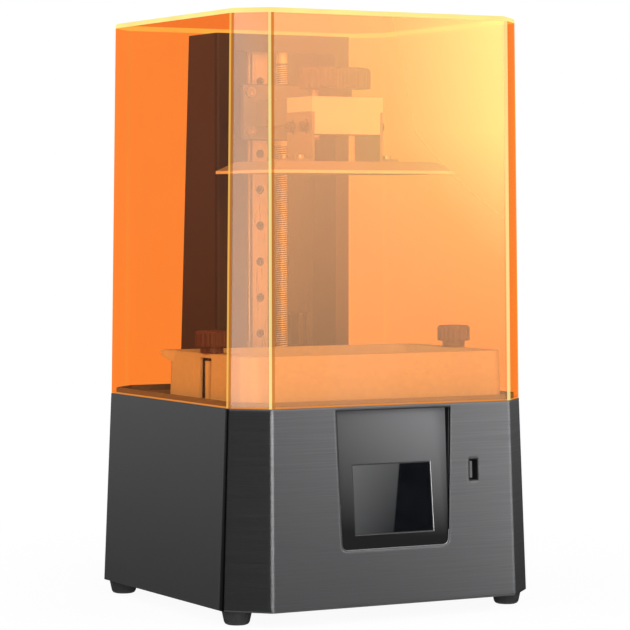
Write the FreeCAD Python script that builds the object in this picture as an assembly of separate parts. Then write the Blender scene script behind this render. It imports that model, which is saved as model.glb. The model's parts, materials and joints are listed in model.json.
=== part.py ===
import FreeCAD, Part
import math
import os

# A desktop resin printer: a tapered metal base, a tinted hood that lifts off, and between them
# a resin vat, a build platform and the screw-driven column that raises the platform.
# Millimetres, +Z up, the front faces -Y, the origin is on the floor under the middle.

V = FreeCAD.Vector

# Clearances
FIT = 0.15                  # fixed pieces beside each other
RUN_FIT = 0.05              # radial room of a turning shaft
SEAT_GAP = 0.2              # flat faces that part when something moves
SLIDE_GAP = 0.3             # flat faces that slide past each other
PANEL_SEAM = 0.3            # visible joint between the two case sheets
SPAN = 900.0                # longer than any piece, for cutting tools

# Case
CASE_FOOT_W = 229.5         # across the flats at the base's lower edge
CASE_SEAM_W = 220.0         # across the flats where the hood meets the base
CASE_TOP_W = 213.4          # across the flats at the top of the hood
CHAMFER_FOOT = 23.6         # leg of the corner chamfer at those three levels
CHAMFER_SEAM = 20.9
CHAMFER_TOP = 18.8
FOOT_H = 9.5
BASE_H = 129.0
HOOD_H = 254.5
CASE_EDGE_R = 3.0
SHEET_T = 2.0
PANEL_RETURN = 2.6          # how far the front panel turns past its chamfers
HOOD_WALL = 3.0

# Feet
FOOT_TOP_R = 10.0
FOOT_FLOOR_R = 8.0
FOOT_X = 102.0
FOOT_Y = 86.0
FOOT_SCREW_R = 2.0
FOOT_RECESS_R = 4.6
FOOT_RECESS_H = 4.0

# Deck
DECK_T = 2.5
LIP_H = 4.0
LIP_T = 2.0
LIP_GAP = 0.5               # between the lip and the hood's inside

# Display in the front panel
DISPLAY_HALF_TOP = 43.0
DISPLAY_HALF_FOOT = 40.0
DISPLAY_TOP_DROP = 2.2      # opening's upper edge below the seam
DISPLAY_H = 90.4
DISPLAY_CORNER_R = 4.0
RECESS_TOP = 7.0            # bezel face behind the panel face
RECESS_FOOT = 0.5
BEZEL_T = 2.5
BEZEL_RIM = 2.5
WINDOW_W = 59.5
WINDOW_H = 46.0
WINDOW_DROP = 60.4          # window centre below the seam
GLASS_RECESS = 0.4
MODULE_W = 69.0
MODULE_H = 50.0
MODULE_T = 4.0

# Socket in the front panel
USB_X = 60.0
USB_DROP = 44.2
USB_W = 7.0
USB_H = 14.5
USB_DEPTH = 14.0
USB_WALL = 0.5
TONGUE_W = 1.8
TONGUE_H = 11.0
TONGUE_BACK = 2.0

# Vat place and light source
VAT_Y = -32.0
LCD_W = 144.0
LCD_D = 90.0
LCD_T = 1.6
LIGHT_W = 134.0             # clear window under the mask
LIGHT_D = 78.0
HOUSING_T = 2.0
FLANGE_W = 8.0
LED_BOARD_W = 62.0
LED_BOARD_T = 2.0
LED_PITCH = 15.0
LED_R = 3.0
LED_H = 1.2
LENS_T = 2.0
LENS_DROP = 8.0
SINK_W = 60.0
SINK_H = 25.0
SINK_BASE = 5.0
SINK_FINS = 11
SINK_FIN_T = 1.6
FAN_H = 15.0
FAN_LIFT = 6.0              # fan above the bottom plate
FAN_BORE_R = 28.0
FAN_HUB_R = 12.0
FAN_PIN_R = 1.5
FAN_HOLE_PITCH = 50.0
FAN_HOLE_R = 2.1
BLADES = 7
BLADE_T = 1.2
BLADE_TILT = 35.0
BLADE_TIP_GAP = 1.5

# Electronics and rear fittings
BOARD_W = 120.0
BOARD_D = 75.0
BOARD_T = 1.6
BOARD_Y = 62.0
STANDOFF_H = 6.0
STANDOFF_R = 3.0
REAR_Z = 60.0
JACK_X = 76.0
JACK_NOSE_R = 4.5
JACK_BORE_R = 3.1
JACK_PIN_R = 1.0
JACK_DEPTH = 14.0
SWITCH_X = 46.0
SWITCH_W = 19.2
SWITCH_H = 13.2
SWITCH_WALL = 1.1
SWITCH_DEPTH = 14.0
SWITCH_FLANGE = 1.1
ROCKER_HALF_W = 8.1
ROCKER_PIVOT_IN = 4.0
ROCKER_PIN_R = 1.2
ROCKER_TILT = 8.0
VENT_X = -72.0
VENT_COUNT = 11
VENT_PITCH = 7.0
VENT_W = 3.0
VENT_H = 40.0

# Column and screw drive
COLUMN_Y = 41.0             # front face
COLUMN_HALF_W = 52.5
COLUMN_DEPTH_FOOT = 57.0
COLUMN_DEPTH_TOP = 42.0
COLUMN_GAP = 4.0            # under the hood's ceiling
COLUMN_T = 2.0
COLUMN_BEND_R = 2.5
OPENING_HALF_W = 41.0
OPENING_SILL = 14.0
OPENING_TOP_DROP = 12.1     # below the column's top
OPENING_R = 5.0
COVER_T = 1.5
CAP_T = 5.0
CAP_DROP = 3.0
SPINE_HALF_W = 35.0
SPINE_Y = 64.0
SPINE_T = 6.0
RAIL_X = -10.8
RAIL_W = 12.0
RAIL_H = 8.0
RAIL_LIFT = 3.0
RAIL_HOLE_PITCH = 25.0
RAIL_HOLE_R = 1.75
RAIL_SINK_R = 3.0
RAIL_SINK_H = 4.5
RAIL_SCREW_R = 1.5
SCREW_X = 5.75
SCREW_Y = 55.0
SCREW_R = 4.0
THREAD_PITCH = 1.5
THREAD_DEPTH = 0.8
THREAD_CREST = 0.5
THREAD_FLANK = 0.22
SCREW_LIFT = 14.0           # lower end of the screw above the deck
JOURNAL_H = 11.0            # plain upper end
MOTOR_W = 42.3
MOTOR_H = 38.0
MOTOR_CORNER = 4.0
MOTOR_BOSS_R = 11.0
MOTOR_BOSS_H = 2.0
MOTOR_BOLT = 15.5
MOTOR_SCREW_R = 1.5
MOTOR_HEAD_R = 2.75
MOTOR_HEAD_H = 2.0          # sunk in the deck
MOTOR_SHAFT_R = 2.5
COUPLING_R = 8.0
COUPLING_H = 18.0
COUPLING_LIFT = 3.0
BEARING_R = 8.0

# Carriage and arm
REST_LIFT = 150.5           # build face above the deck in the rest pose
CARRIAGE_RISE = 24.0        # carriage's lower edge above the build face
CARRIAGE_H = 39.0
CARRIAGE_HALF_W = 30.0
CARRIAGE_T = 3.0
RAIL_BLOCK_W = 22.0
RAIL_BLOCK_L = 31.0
RAIL_BLOCK_T = 10.0
LUG_X0 = -3.5
LUG_X1 = 15.0
LUG_D = 11.0
LUG_H = 7.5
NUT_R = 5.5
NUT_FLANGE_R = 8.0
NUT_FLANGE_H = 3.0
SENSOR_X = 23.0
SENSOR_HALF_W = 5.0
SENSOR_SLOT_HALF = 1.5
SENSOR_LIFT = 32.5
SENSOR_H = 22.0
SENSOR_D = 11.0
FLAG_T = 1.2
FLAG_H = 12.0
FLAG_D = 9.0
ARM_FLANGE_T = 4.0
ARM_HALF_W = 20.0
TONGUE_HALF_W = 14.0
TONGUE_T = 11.5
ARM_SCREW_X = 25.5
ARM_SCREW_Z = 13.5          # above and below the flange's middle

# Build platform
PLATE_W = 138.0
PLATE_D = 82.0
PLATE_EDGE = 2.0
PLATE_RISE = 6.0
PLATE_INSET = 10.0
BRACKET_T = 2.0
BRACKET_HALF = 27.0         # outside of the upright leg
BRACKET_FOOT = 12.0
BRACKET_H = 33.0
CLAMP_Y0 = -49.0
CLAMP_Y1 = -14.0
CLAMP_RISE = 18.3           # underside above the plate's top
CLAMP_H = 24.7
CLAMP_SHOULDER_H = 10.0
CLAMP_FRONT_WALL = 4.0
KNOB_R = 24.0
KNOB_H = 13.7
KNOB_NECK_R = 11.4
KNOB_NECK_H = 5.7
KNOB_STUD_R = 3.0
KNOB_FLUTES = 30
KNOB_FLUTE_R = 2.0

# Vat
SEAT_T = 2.0
SEAT_HALF_OUT = 99.5
SEAT_HALF_IN = 70.0
SEAT_STRIP_IN = 84.0
SEAT_FRONT = 63.0           # from the vat's middle line
SEAT_PAD_D = 9.5
VAT_HALF_W = 97.2           # at the rim
VAT_HALF_D = 58.5
VAT_DRAFT = 0.8             # growth towards the foot
VAT_H = 30.3
VAT_CORNER_R = 10.0
VAT_WALL = 2.0
RIM_T = 3.0
CAVITY_HALF_W = 82.0
CAVITY_HALF_D = 52.0
CAVITY_DRAFT = 1.0
CAVITY_R = 12.0
SPOUT_L = 15.0
SPOUT_ROOT_HALF = 10.0
SPOUT_TIP_HALF = 4.2
SPOUT_ROOT_H = 10.5
SPOUT_TIP_H = 3.0
CHANNEL_DEPTH = 4.5
CHANNEL_WALL = 1.4
FILM_T = 0.3
FRAME_T = 3.0
FRAME_HALF_W = 74.0         # inside of the film frame
FRAME_HALF_D = 47.0
FRAME_R = 8.0
FILM_SCREW_R = 1.0
FILM_SCREW_PITCH = 24.0
THUMB_X = 92.8
THUMB_Y = -32.5
THUMB_R = 11.1
THUMB_H = 10.4
THUMB_NECK_R = 7.65
THUMB_NECK_H = 4.3
THUMB_SHANK_R = 2.5
THUMB_SHANK_L = 17.0
THUMB_FLUTES = 20
THUMB_FLUTE_R = 1.4
POST_R = 4.5
POST_DROP = 2.0             # post top below the rim plate
NOTCH_HALF = 8.0

# Levels worked out from the sizes above
BASE_Z = FOOT_H
DECK_Z = BASE_Z + BASE_H
TOP_Z = DECK_Z + HOOD_H
FLOOR_Z = BASE_Z + SHEET_T
DECK_LOW = DECK_Z - DECK_T
SLOPE = math.degrees(math.atan((CASE_FOOT_W - CASE_SEAM_W) / 2 / BASE_H))
DISPLAY_TOP_Z = DECK_Z - DISPLAY_TOP_DROP
DISPLAY_FOOT_Z = DISPLAY_TOP_Z - DISPLAY_H
WINDOW_Z = DECK_Z - WINDOW_DROP
FAN_Z = FLOOR_Z + FAN_LIFT
SINK_Z = FAN_Z + FAN_H
LED_Z = SINK_Z + SINK_H
BOX_Z = LED_Z + LED_BOARD_T
COLUMN_TOP = TOP_Z - HOOD_WALL - COLUMN_GAP
CAP_Z = COLUMN_TOP - CAP_DROP - CAP_T
PLATE_Z = DECK_Z + REST_LIFT
PLATE_TOP = PLATE_Z + PLATE_EDGE + PLATE_RISE
CARRIAGE_Z = PLATE_Z + CARRIAGE_RISE
CARRIAGE_Y = SPINE_Y - RAIL_H - RAIL_BLOCK_T / 2 - CARRIAGE_T
CARRIAGE_BACK = CARRIAGE_Y + CARRIAGE_T
RAIL_FACE = SPINE_Y - RAIL_H
CLAMP_Z = PLATE_TOP + CLAMP_RISE
CLAMP_TOP = CLAMP_Z + CLAMP_H
ARM_Z = CLAMP_Z + 7.2
KNOB_Y = (CLAMP_Y0 + CLAMP_Y1) / 2
SEAT_TOP = DECK_Z + SEAT_T
VAT_Z = SEAT_TOP + SEAT_GAP
RIM_Z = VAT_Z + VAT_H


def block(x0, x1, y0, y1, z0, z1):
    return Part.makeBox(x1 - x0, y1 - y0, z1 - z0, V(x0, y0, z0))


def rod(x, y, z0, z1, radius):
    return Part.makeCylinder(radius, z1 - z0, V(x, y, z0))


def ring(x, y, z0, z1, outer, inner):
    return rod(x, y, z0, z1, outer).cut(rod(x, y, z0 - 1, z1 + 1, inner))


def join(pieces):
    return pieces[0].fuse(pieces[1:]).removeSplitter()


def polygon_face(points):
    return Part.Face(Part.makePolygon(points + points[:1]))


def prismatoid(lower, upper):
    # A solid with flat sides between two outlines that have the same number of points,
    # listed anticlockwise as seen from the upper one.
    faces = [polygon_face(lower[::-1]), polygon_face(upper)]
    for i in range(len(lower)):
        j = (i + 1) % len(lower)
        faces.append(polygon_face([lower[i], lower[j], upper[j], upper[i]]))
    shell = Part.makeShell(faces)
    return Part.makeSolid(shell)


def round_uprights(solid, radius):
    uprights = [e for e in solid.Edges if abs(e.Vertexes[0].Z - e.Vertexes[-1].Z) > 0.1]
    return solid.makeFillet(radius, uprights)


def edges_at(solid, z):
    return [e for e in solid.Edges if abs(e.BoundBox.ZMin - z) + abs(e.BoundBox.ZMax - z) < 0.01]


def blend(a, b, share):
    return a + (b - a) * share


def chamfered_square(width, chamfer, z):
    h = width / 2
    k = h - chamfer
    corners = [(-k, -h), (k, -h), (h, -k), (h, k), (k, h), (-k, h), (-h, k), (-h, -k)]
    return [V(x, y, z) for x, y in corners]


def case_outline(z, inset=0.0):
    # The case's outline at a level, moved inwards square to every side.
    if z <= DECK_Z:
        share = (z - BASE_Z) / BASE_H
        width = blend(CASE_FOOT_W, CASE_SEAM_W, share)
        chamfer = blend(CHAMFER_FOOT, CHAMFER_SEAM, share)
    else:
        share = (z - DECK_Z) / HOOD_H
        width = blend(CASE_SEAM_W, CASE_TOP_W, share)
        chamfer = blend(CHAMFER_SEAM, CHAMFER_TOP, share)
    return chamfered_square(width - 2 * inset, chamfer - (2 - math.sqrt(2)) * inset, z)


def case_volume(z0, z1, inset=0.0):
    return prismatoid(case_outline(z0, inset), case_outline(z1, inset))


def half_width(z):
    return blend(CASE_FOOT_W, CASE_SEAM_W, (z - BASE_Z) / BASE_H) / 2


def on_front(shape, x, z):
    # From an upright frame, with -Y pointing out, to the sloping front panel.
    return shape.rotated(V(0, 0, 0), V(1, 0, 0), -SLOPE).translated(V(x, -half_width(z), z))


def on_rear(shape, x, z):
    return shape.rotated(V(0, 0, 0), V(1, 0, 0), SLOPE).translated(V(x, half_width(z), z))


def drafted_box(half_w, half_d, growth, z0, z1, radius):
    # A box round the vat's middle whose foot is larger than its top by growth on each side.
    rings = []
    for z, extra in ((z0, growth), (z1, 0.0)):
        x = half_w + extra
        y = half_d + extra
        rings.append([V(-x, VAT_Y - y, z), V(x, VAT_Y - y, z), V(x, VAT_Y + y, z), V(-x, VAT_Y + y, z)])
    return round_uprights(prismatoid(rings[0], rings[1]), radius)


def hex_socket(centre, axis, across, depth):
    side = V(0, 0, 1) if abs(axis.z) < 0.5 else V(1, 0, 0)
    other = axis.cross(side)
    points = []
    for i in range(6):
        turn = math.radians(60 * i)
        points.append(centre + (side * math.cos(turn) + other * math.sin(turn)) * (across / math.sqrt(3)))
    return polygon_face(points).extrude(axis * (-depth))


def cap_screw(tip, axis, shank_r, shank_l, head_r, head_h):
    # A socket head screw from its tip to its head, along axis.
    seat = tip + axis * shank_l
    shank = Part.makeCylinder(shank_r, shank_l, tip, axis)
    head = Part.makeCylinder(head_r, head_h, seat, axis)
    socket = hex_socket(seat + axis * head_h, axis, head_r, head_h * 0.6)
    return shank.fuse(head).cut(socket)


def fluted_head(x, y, z0, z1, radius, flutes, flute_r):
    head = rod(x, y, z0, z1, radius)
    head = head.makeFillet((z1 - z0) * 0.22, edges_at(head, z1))
    cutters = []
    for i in range(flutes):
        turn = 2 * math.pi * i / flutes
        reach = radius + flute_r * 0.55
        cutters.append(rod(x + reach * math.cos(turn), y + reach * math.sin(turn), z0 - 1, z1 + 1, flute_r))
    return head.cut(cutters)


# Case pieces

def case_sheet():
    outer = round_uprights(case_volume(BASE_Z, DECK_Z), CASE_EDGE_R)
    inner = prismatoid(case_outline(BASE_Z - 1, SHEET_T), case_outline(DECK_Z, SHEET_T))
    return outer.cut(inner)


def split_y():
    return -(CASE_SEAM_W / 2 - CHAMFER_SEAM) + PANEL_RETURN


def usb_z():
    return DECK_Z - USB_DROP


def base_front_panel():
    panel = case_sheet().common(block(-SPAN, SPAN, -SPAN, split_y(), 0, SPAN))
    half_w = USB_W / 2 + FIT
    half_h = USB_H / 2 + FIT
    slot = on_front(block(-half_w, half_w, -5, USB_DEPTH, -half_h, half_h), USB_X, usb_z())
    return panel.cut([display_prism(0.0), slot])


def base_rear_shell():
    shell = case_sheet().common(block(-SPAN, SPAN, split_y() + PANEL_SEAM, SPAN, 0, SPAN))
    half_w = SWITCH_W / 2 + FIT
    half_h = SWITCH_H / 2 + FIT
    cuts = [on_rear(block(-half_w, half_w, -10, 5, -half_h, half_h), SWITCH_X, REAR_Z)]
    nose = Part.makeCylinder(JACK_NOSE_R + FIT, 20, V(0, -10, 0), V(0, 1, 0))
    cuts.append(on_rear(nose, JACK_X, REAR_Z))
    for i in range(VENT_COUNT):
        slot = block(-VENT_W / 2, VENT_W / 2, -10, 5, -VENT_H / 2, VENT_H / 2)
        cuts.append(on_rear(slot, VENT_X + VENT_PITCH * i, REAR_Z))
    return shell.cut(cuts)


def foot_places():
    return [(x, y) for x in (-FOOT_X, FOOT_X) for y in (-FOOT_Y, FOOT_Y)]


def fan_hole_places():
    half = FAN_HOLE_PITCH / 2
    return [(x, VAT_Y + y) for x in (-half, half) for y in (-half, half)]


def bottom_plate():
    plate = case_volume(BASE_Z, FLOOR_Z, SHEET_T + FIT)
    cuts = [rod(x, y, 0, SPAN, FOOT_SCREW_R + RUN_FIT) for x, y in foot_places()]
    half = FAN_BORE_R - 4
    for i in range(-3, 4):
        x = i * 8.0
        cuts.append(block(x - 1.5, x + 1.5, VAT_Y - half, VAT_Y + half, 0, SPAN))
    return plate.cut(cuts)


def feet():
    made = []
    for x, y in foot_places():
        foot = Part.makeCone(FOOT_FLOOR_R, FOOT_TOP_R, FOOT_H, V(x, y, 0))
        recess = rod(x, y, -1, FOOT_RECESS_H, FOOT_RECESS_R)
        made.append(foot.cut([recess, rod(x, y, 0, FOOT_H + 1, FOOT_SCREW_R + RUN_FIT)]))
    return made


def foot_screws():
    tip = FLOOR_Z + 3.0
    length = tip - FOOT_RECESS_H
    return [cap_screw(V(x, y, tip), V(0, 0, -1), FOOT_SCREW_R, length, 3.6, 2.4) for x, y in foot_places()]


def deck_plate():
    plate = case_volume(DECK_LOW, DECK_Z, SHEET_T + FIT)
    inset = HOOD_WALL + LIP_GAP
    lip_top = DECK_Z + LIP_H
    lip = prismatoid(case_outline(DECK_Z, inset), case_outline(lip_top, inset))
    hollow = prismatoid(case_outline(DECK_Z, inset + LIP_T), case_outline(lip_top + 1, inset + LIP_T))
    half_w = LIGHT_W / 2
    half_d = LIGHT_D / 2
    cuts = [block(-half_w, half_w, VAT_Y - half_d, VAT_Y + half_d, 0, SPAN)]
    cuts.append(rod(SCREW_X, SCREW_Y, 0, SPAN, MOTOR_BOSS_R + FIT))
    for x, y in motor_bolt_places():
        cuts.append(rod(x, y, 0, SPAN, MOTOR_SCREW_R + RUN_FIT))
        cuts.append(rod(x, y, motor_head_z(), SPAN, MOTOR_HEAD_R + FIT))
    return plate.fuse(lip.cut(hollow)).cut(cuts)


def hood():
    outer = prismatoid(case_outline(DECK_Z + SEAT_GAP), case_outline(TOP_Z))
    ceiling = TOP_Z - HOOD_WALL
    inner = prismatoid(case_outline(DECK_Z + 0.1, HOOD_WALL), case_outline(ceiling, HOOD_WALL))
    return outer.cut(inner)


# Display and socket

def display_prism(margin):
    top = DISPLAY_TOP_Z + margin
    low = DISPLAY_FOOT_Z - margin
    half_top = DISPLAY_HALF_TOP + margin
    half_low = DISPLAY_HALF_FOOT + margin
    y = -CASE_FOOT_W
    outline = [V(-half_top, y, top), V(-half_low, y, low), V(half_low, y, low), V(half_top, y, top)]
    prism = polygon_face(outline).extrude(V(0, CASE_FOOT_W * 0.6, 0))
    lower = [e for e in prism.Edges if e.BoundBox.ZMax < low + 0.01 and e.BoundBox.XLength < 0.01]
    return prism.makeFillet(DISPLAY_CORNER_R + margin, lower)


def tilted(shape):
    # From an upright frame round the window's middle to the sloping bezel face.
    y_top = -half_width(DISPLAY_TOP_Z) + RECESS_TOP
    y_low = -half_width(DISPLAY_FOOT_Z) + RECESS_FOOT
    lean = math.degrees(math.atan((y_top - y_low) / DISPLAY_H))
    y = blend(y_low, y_top, (WINDOW_Z - DISPLAY_FOOT_Z) / DISPLAY_H)
    return shape.rotated(V(0, 0, 0), V(1, 0, 0), -lean).translated(V(0, y, WINDOW_Z))


def display_bezel():
    opening = display_prism(-FIT)
    face = opening.common(tilted(block(-SPAN, SPAN, 0, BEZEL_T, -SPAN, SPAN)))
    behind = case_volume(FLOOR_Z, DECK_LOW - FIT, SHEET_T + FIT)
    before = tilted(block(-SPAN, SPAN, -SPAN, BEZEL_T, -SPAN, SPAN))
    rim = display_prism(BEZEL_RIM).cut(opening).common(behind).common(before)
    below_deck = block(-SPAN, SPAN, -SPAN, SPAN, 0, DECK_LOW - FIT)
    window = tilted(block(-WINDOW_W / 2, WINDOW_W / 2, -20, 20, -WINDOW_H / 2, WINDOW_H / 2))
    return face.fuse(rim).common(below_deck).cut(window)


def display_glass():
    half_w = WINDOW_W / 2 - FIT
    half_h = WINDOW_H / 2 - FIT
    return tilted(block(-half_w, half_w, GLASS_RECESS, BEZEL_T, -half_h, half_h))


def display_module():
    half_w = MODULE_W / 2
    half_h = MODULE_H / 2
    return tilted(block(-half_w, half_w, BEZEL_T, BEZEL_T + MODULE_T, -half_h, half_h))


def usb_shell():
    half_w = USB_W / 2
    half_h = USB_H / 2
    inner_w = half_w - USB_WALL
    inner_h = half_h - USB_WALL
    shell = block(-half_w, half_w, 0, USB_DEPTH, -half_h, half_h)
    cavity = block(-inner_w, inner_w, -1, USB_DEPTH - USB_WALL, -inner_h, inner_h)
    return on_front(shell.cut(cavity), USB_X, usb_z())


def usb_tongue():
    x0 = -TONGUE_W
    back = USB_DEPTH - USB_WALL
    return on_front(block(x0, 0, TONGUE_BACK, back, -TONGUE_H / 2, TONGUE_H / 2), USB_X, usb_z())


# Light source under the vat

def mask_lcd():
    return block(-LCD_W / 2, LCD_W / 2, VAT_Y - LCD_D / 2, VAT_Y + LCD_D / 2, DECK_Z, DECK_Z + LCD_T)


def light_funnel(grow, z0, z1):
    # The funnel between the light board and the mask, grown outwards all round.
    rings = []
    for z in (z0, z1):
        share = (z - BOX_Z) / (DECK_LOW - BOX_Z)
        x = blend(LED_BOARD_W / 2 - HOUSING_T, LIGHT_W / 2, share) + grow
        y = blend(LED_BOARD_W / 2 - HOUSING_T, LIGHT_D / 2, share) + grow
        rings.append([V(-x, VAT_Y - y, z), V(x, VAT_Y - y, z), V(x, VAT_Y + y, z), V(-x, VAT_Y + y, z)])
    return prismatoid(rings[0], rings[1])


def light_housing():
    x = LIGHT_W / 2 + FLANGE_W
    y = LIGHT_D / 2 + FLANGE_W
    flange = block(-x, x, VAT_Y - y, VAT_Y + y, DECK_LOW - HOUSING_T, DECK_LOW)
    outer = light_funnel(HOUSING_T, BOX_Z, DECK_LOW).fuse(flange)
    return outer.cut(light_funnel(0.0, BOX_Z - 1, DECK_LOW + 1))


def condenser_lens():
    top = DECK_LOW - LENS_DROP
    return light_funnel(-FIT, top - LENS_T, top)


def led_board():
    half = LED_BOARD_W / 2
    return block(-half, half, VAT_Y - half, VAT_Y + half, LED_Z, BOX_Z)


def uv_leds():
    made = []
    for i in (-1, 0, 1):
        for j in (-1, 0, 1):
            x = i * LED_PITCH
            y = VAT_Y + j * LED_PITCH
            dome_z = BOX_Z + LED_H
            dome = Part.makeSphere(LED_R - 0.5, V(x, y, dome_z), V(0, 0, 1), 0, 90, 360)
            made.append(rod(x, y, BOX_Z, dome_z, LED_R).fuse(dome))
    return made


def heat_sink():
    half = SINK_W / 2
    pieces = [block(-half, half, VAT_Y - half, VAT_Y + half, LED_Z - SINK_BASE, LED_Z)]
    pitch = (SINK_W - SINK_FIN_T) / (SINK_FINS - 1)
    for i in range(SINK_FINS):
        x = -half + pitch * i
        pieces.append(block(x, x + SINK_FIN_T, VAT_Y - half, VAT_Y + half, SINK_Z, LED_Z - SINK_BASE))
    return join(pieces)


def fan_frame():
    half = SINK_W / 2
    frame = block(-half, half, VAT_Y - half, VAT_Y + half, FAN_Z, SINK_Z)
    frame = frame.cut(rod(0, VAT_Y, 0, SPAN, FAN_BORE_R))
    frame = frame.cut([rod(x, y, 0, SPAN, FAN_HOLE_R) for x, y in fan_hole_places()])
    pieces = [frame, rod(0, VAT_Y, FAN_Z, FAN_Z + 2, FAN_HUB_R)]
    pieces.append(rod(0, VAT_Y, FAN_Z, SINK_Z - 4, FAN_PIN_R))
    for i in range(3):
        strut = block(FAN_HUB_R - 2, FAN_BORE_R + 1, -1.5, 1.5, FAN_Z, FAN_Z + 2)
        pieces.append(strut.rotated(V(0, 0, 0), V(0, 0, 1), 30 + 120 * i).translated(V(0, VAT_Y, 0)))
    return join(pieces)


def fan_rotor():
    z0 = FAN_Z + 2 + SLIDE_GAP
    z1 = SINK_Z - 1.5
    pieces = [rod(0, 0, z0, z1, FAN_HUB_R)]
    reach = FAN_BORE_R - BLADE_TIP_GAP
    middle = (z0 + z1) / 2
    for i in range(BLADES):
        blade = block(FAN_HUB_R - 1.5, reach, -6, 6, -BLADE_T / 2, BLADE_T / 2)
        blade = blade.rotated(V(0, 0, 0), V(1, 0, 0), BLADE_TILT).translated(V(0, 0, middle))
        pieces.append(blade.rotated(V(0, 0, 0), V(0, 0, 1), 360 / BLADES * i))
    pin_hole = rod(0, 0, z0 - 1, SINK_Z - 4 + SLIDE_GAP, FAN_PIN_R + RUN_FIT)
    return join(pieces).cut(pin_hole).translated(V(0, VAT_Y, 0))


# Electronics and rear fittings

def standoff_places():
    x = BOARD_W / 2 - 5
    y = BOARD_D / 2 - 5
    return [(i * x, BOARD_Y + j * y) for i in (-1, 1) for j in (-1, 1)]


def board_standoffs():
    return [rod(x, y, FLOOR_Z, FLOOR_Z + STANDOFF_H, STANDOFF_R) for x, y in standoff_places()]


def mainboard():
    z = FLOOR_Z + STANDOFF_H
    return block(-BOARD_W / 2, BOARD_W / 2, BOARD_Y - BOARD_D / 2, BOARD_Y + BOARD_D / 2, z, z + BOARD_T)


def board_parts():
    # Processor, driver sink, two rows of plug headers and two capacitors.
    z = FLOOR_Z + STANDOFF_H + BOARD_T
    made = [block(-30, -12, BOARD_Y - 9, BOARD_Y + 9, z, z + 2.4)]
    made.append(block(8, 20, BOARD_Y - 6, BOARD_Y + 6, z, z + 9))
    for i in range(5):
        x = -50 + 20 * i
        made.append(block(x, x + 12, BOARD_Y - BOARD_D / 2 + 2, BOARD_Y - BOARD_D / 2 + 8, z, z + 7))
    for x in (34, 46):
        made.append(rod(x, BOARD_Y + 20, z, z + 12, 4.5))
    return made


def dc_jack():
    body = block(-7, 7, -JACK_DEPTH, -SHEET_T - FIT, -6, 6)
    nose = Part.makeCylinder(JACK_NOSE_R, SHEET_T + FIT + 0.5, V(0, -SHEET_T - FIT - 0.5, 0), V(0, 1, 0))
    bore = Part.makeCylinder(JACK_BORE_R, JACK_DEPTH, V(0, -JACK_DEPTH + 3, 0), V(0, 1, 0))
    pin = Part.makeCylinder(JACK_PIN_R, JACK_DEPTH - 4, V(0, -JACK_DEPTH + 2, 0), V(0, 1, 0))
    return on_rear(body.fuse(nose).cut(bore).fuse(pin), JACK_X, REAR_Z)


def switch_frame():
    half_w = SWITCH_W / 2
    half_h = SWITCH_H / 2
    body = block(-half_w, half_w, -SWITCH_DEPTH, 0, -half_h, half_h)
    flange = block(-half_w - 1.5, half_w + 1.5, 0, SWITCH_FLANGE, -half_h - 1.5, half_h + 1.5)
    inner_w = half_w - SWITCH_WALL
    inner_h = half_h - SWITCH_WALL
    cavity = block(-inner_w, inner_w, -SWITCH_DEPTH + SWITCH_WALL, 5, -inner_h, inner_h)
    pivot = V(-half_w - 1, -ROCKER_PIVOT_IN, 0)
    holes = Part.makeCylinder(ROCKER_PIN_R + RUN_FIT, SWITCH_W + 2, pivot, V(1, 0, 0))
    return on_rear(body.fuse(flange).cut([cavity, holes]), SWITCH_X, REAR_Z)


def switch_rocker():
    profile = [(4.4, -4.4), (3.8, 0), (4.4, 4.4), (-2.5, 3.0), (-2.5, -3.0)]
    points = [V(-ROCKER_HALF_W, y, z) for y, z in profile]
    rocker = polygon_face(points).extrude(V(2 * ROCKER_HALF_W, 0, 0))
    half_pin = SWITCH_W / 2 - 0.3
    pin = Part.makeCylinder(ROCKER_PIN_R, 2 * half_pin, V(-half_pin, 0, 0), V(1, 0, 0))
    rocker = rocker.fuse(pin).rotated(V(0, 0, 0), V(1, 0, 0), -ROCKER_TILT)
    return on_rear(rocker.translated(V(0, -ROCKER_PIVOT_IN, 0)), SWITCH_X, REAR_Z)


# Column and screw drive

def column_depth(z):
    return blend(COLUMN_DEPTH_FOOT, COLUMN_DEPTH_TOP, (z - DECK_Z) / (COLUMN_TOP - DECK_Z))


def column_prism(half_w, front, back_inset):
    # A block between the column's upright front and its leaning back.
    back_low = COLUMN_Y + COLUMN_DEPTH_FOOT - back_inset
    back_top = COLUMN_Y + COLUMN_DEPTH_TOP - back_inset
    profile = [(front, DECK_Z), (back_low, DECK_Z), (back_top, COLUMN_TOP), (front, COLUMN_TOP)]
    return polygon_face([V(-half_w, y, z) for y, z in profile]).extrude(V(2 * half_w, 0, 0))


def column_frame():
    outer = column_prism(COLUMN_HALF_W, COLUMN_Y, 0.0)
    bends = [e for e in outer.Edges if e.BoundBox.YMax < COLUMN_Y + 0.01 and e.BoundBox.XLength < 0.01]
    outer = outer.makeFillet(COLUMN_BEND_R, bends)
    inner_half = COLUMN_HALF_W - COLUMN_T
    inner = block(-inner_half, inner_half, COLUMN_Y + COLUMN_T, SPAN, 0, SPAN)
    sill = DECK_Z + OPENING_SILL
    head = COLUMN_TOP - OPENING_TOP_DROP
    hole = block(-OPENING_HALF_W, OPENING_HALF_W, 0, COLUMN_Y + 10, sill, head)
    corners = [e for e in hole.Edges if e.BoundBox.YLength > 1]
    return outer.cut(inner).cut(hole.makeFillet(OPENING_R, corners))


def column_cover():
    half_w = COLUMN_HALF_W - COLUMN_T - FIT
    block_ahead = column_prism(half_w + 1, COLUMN_Y, COVER_T)
    return column_prism(half_w, COLUMN_Y, 0.0).cut(block_ahead)


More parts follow.
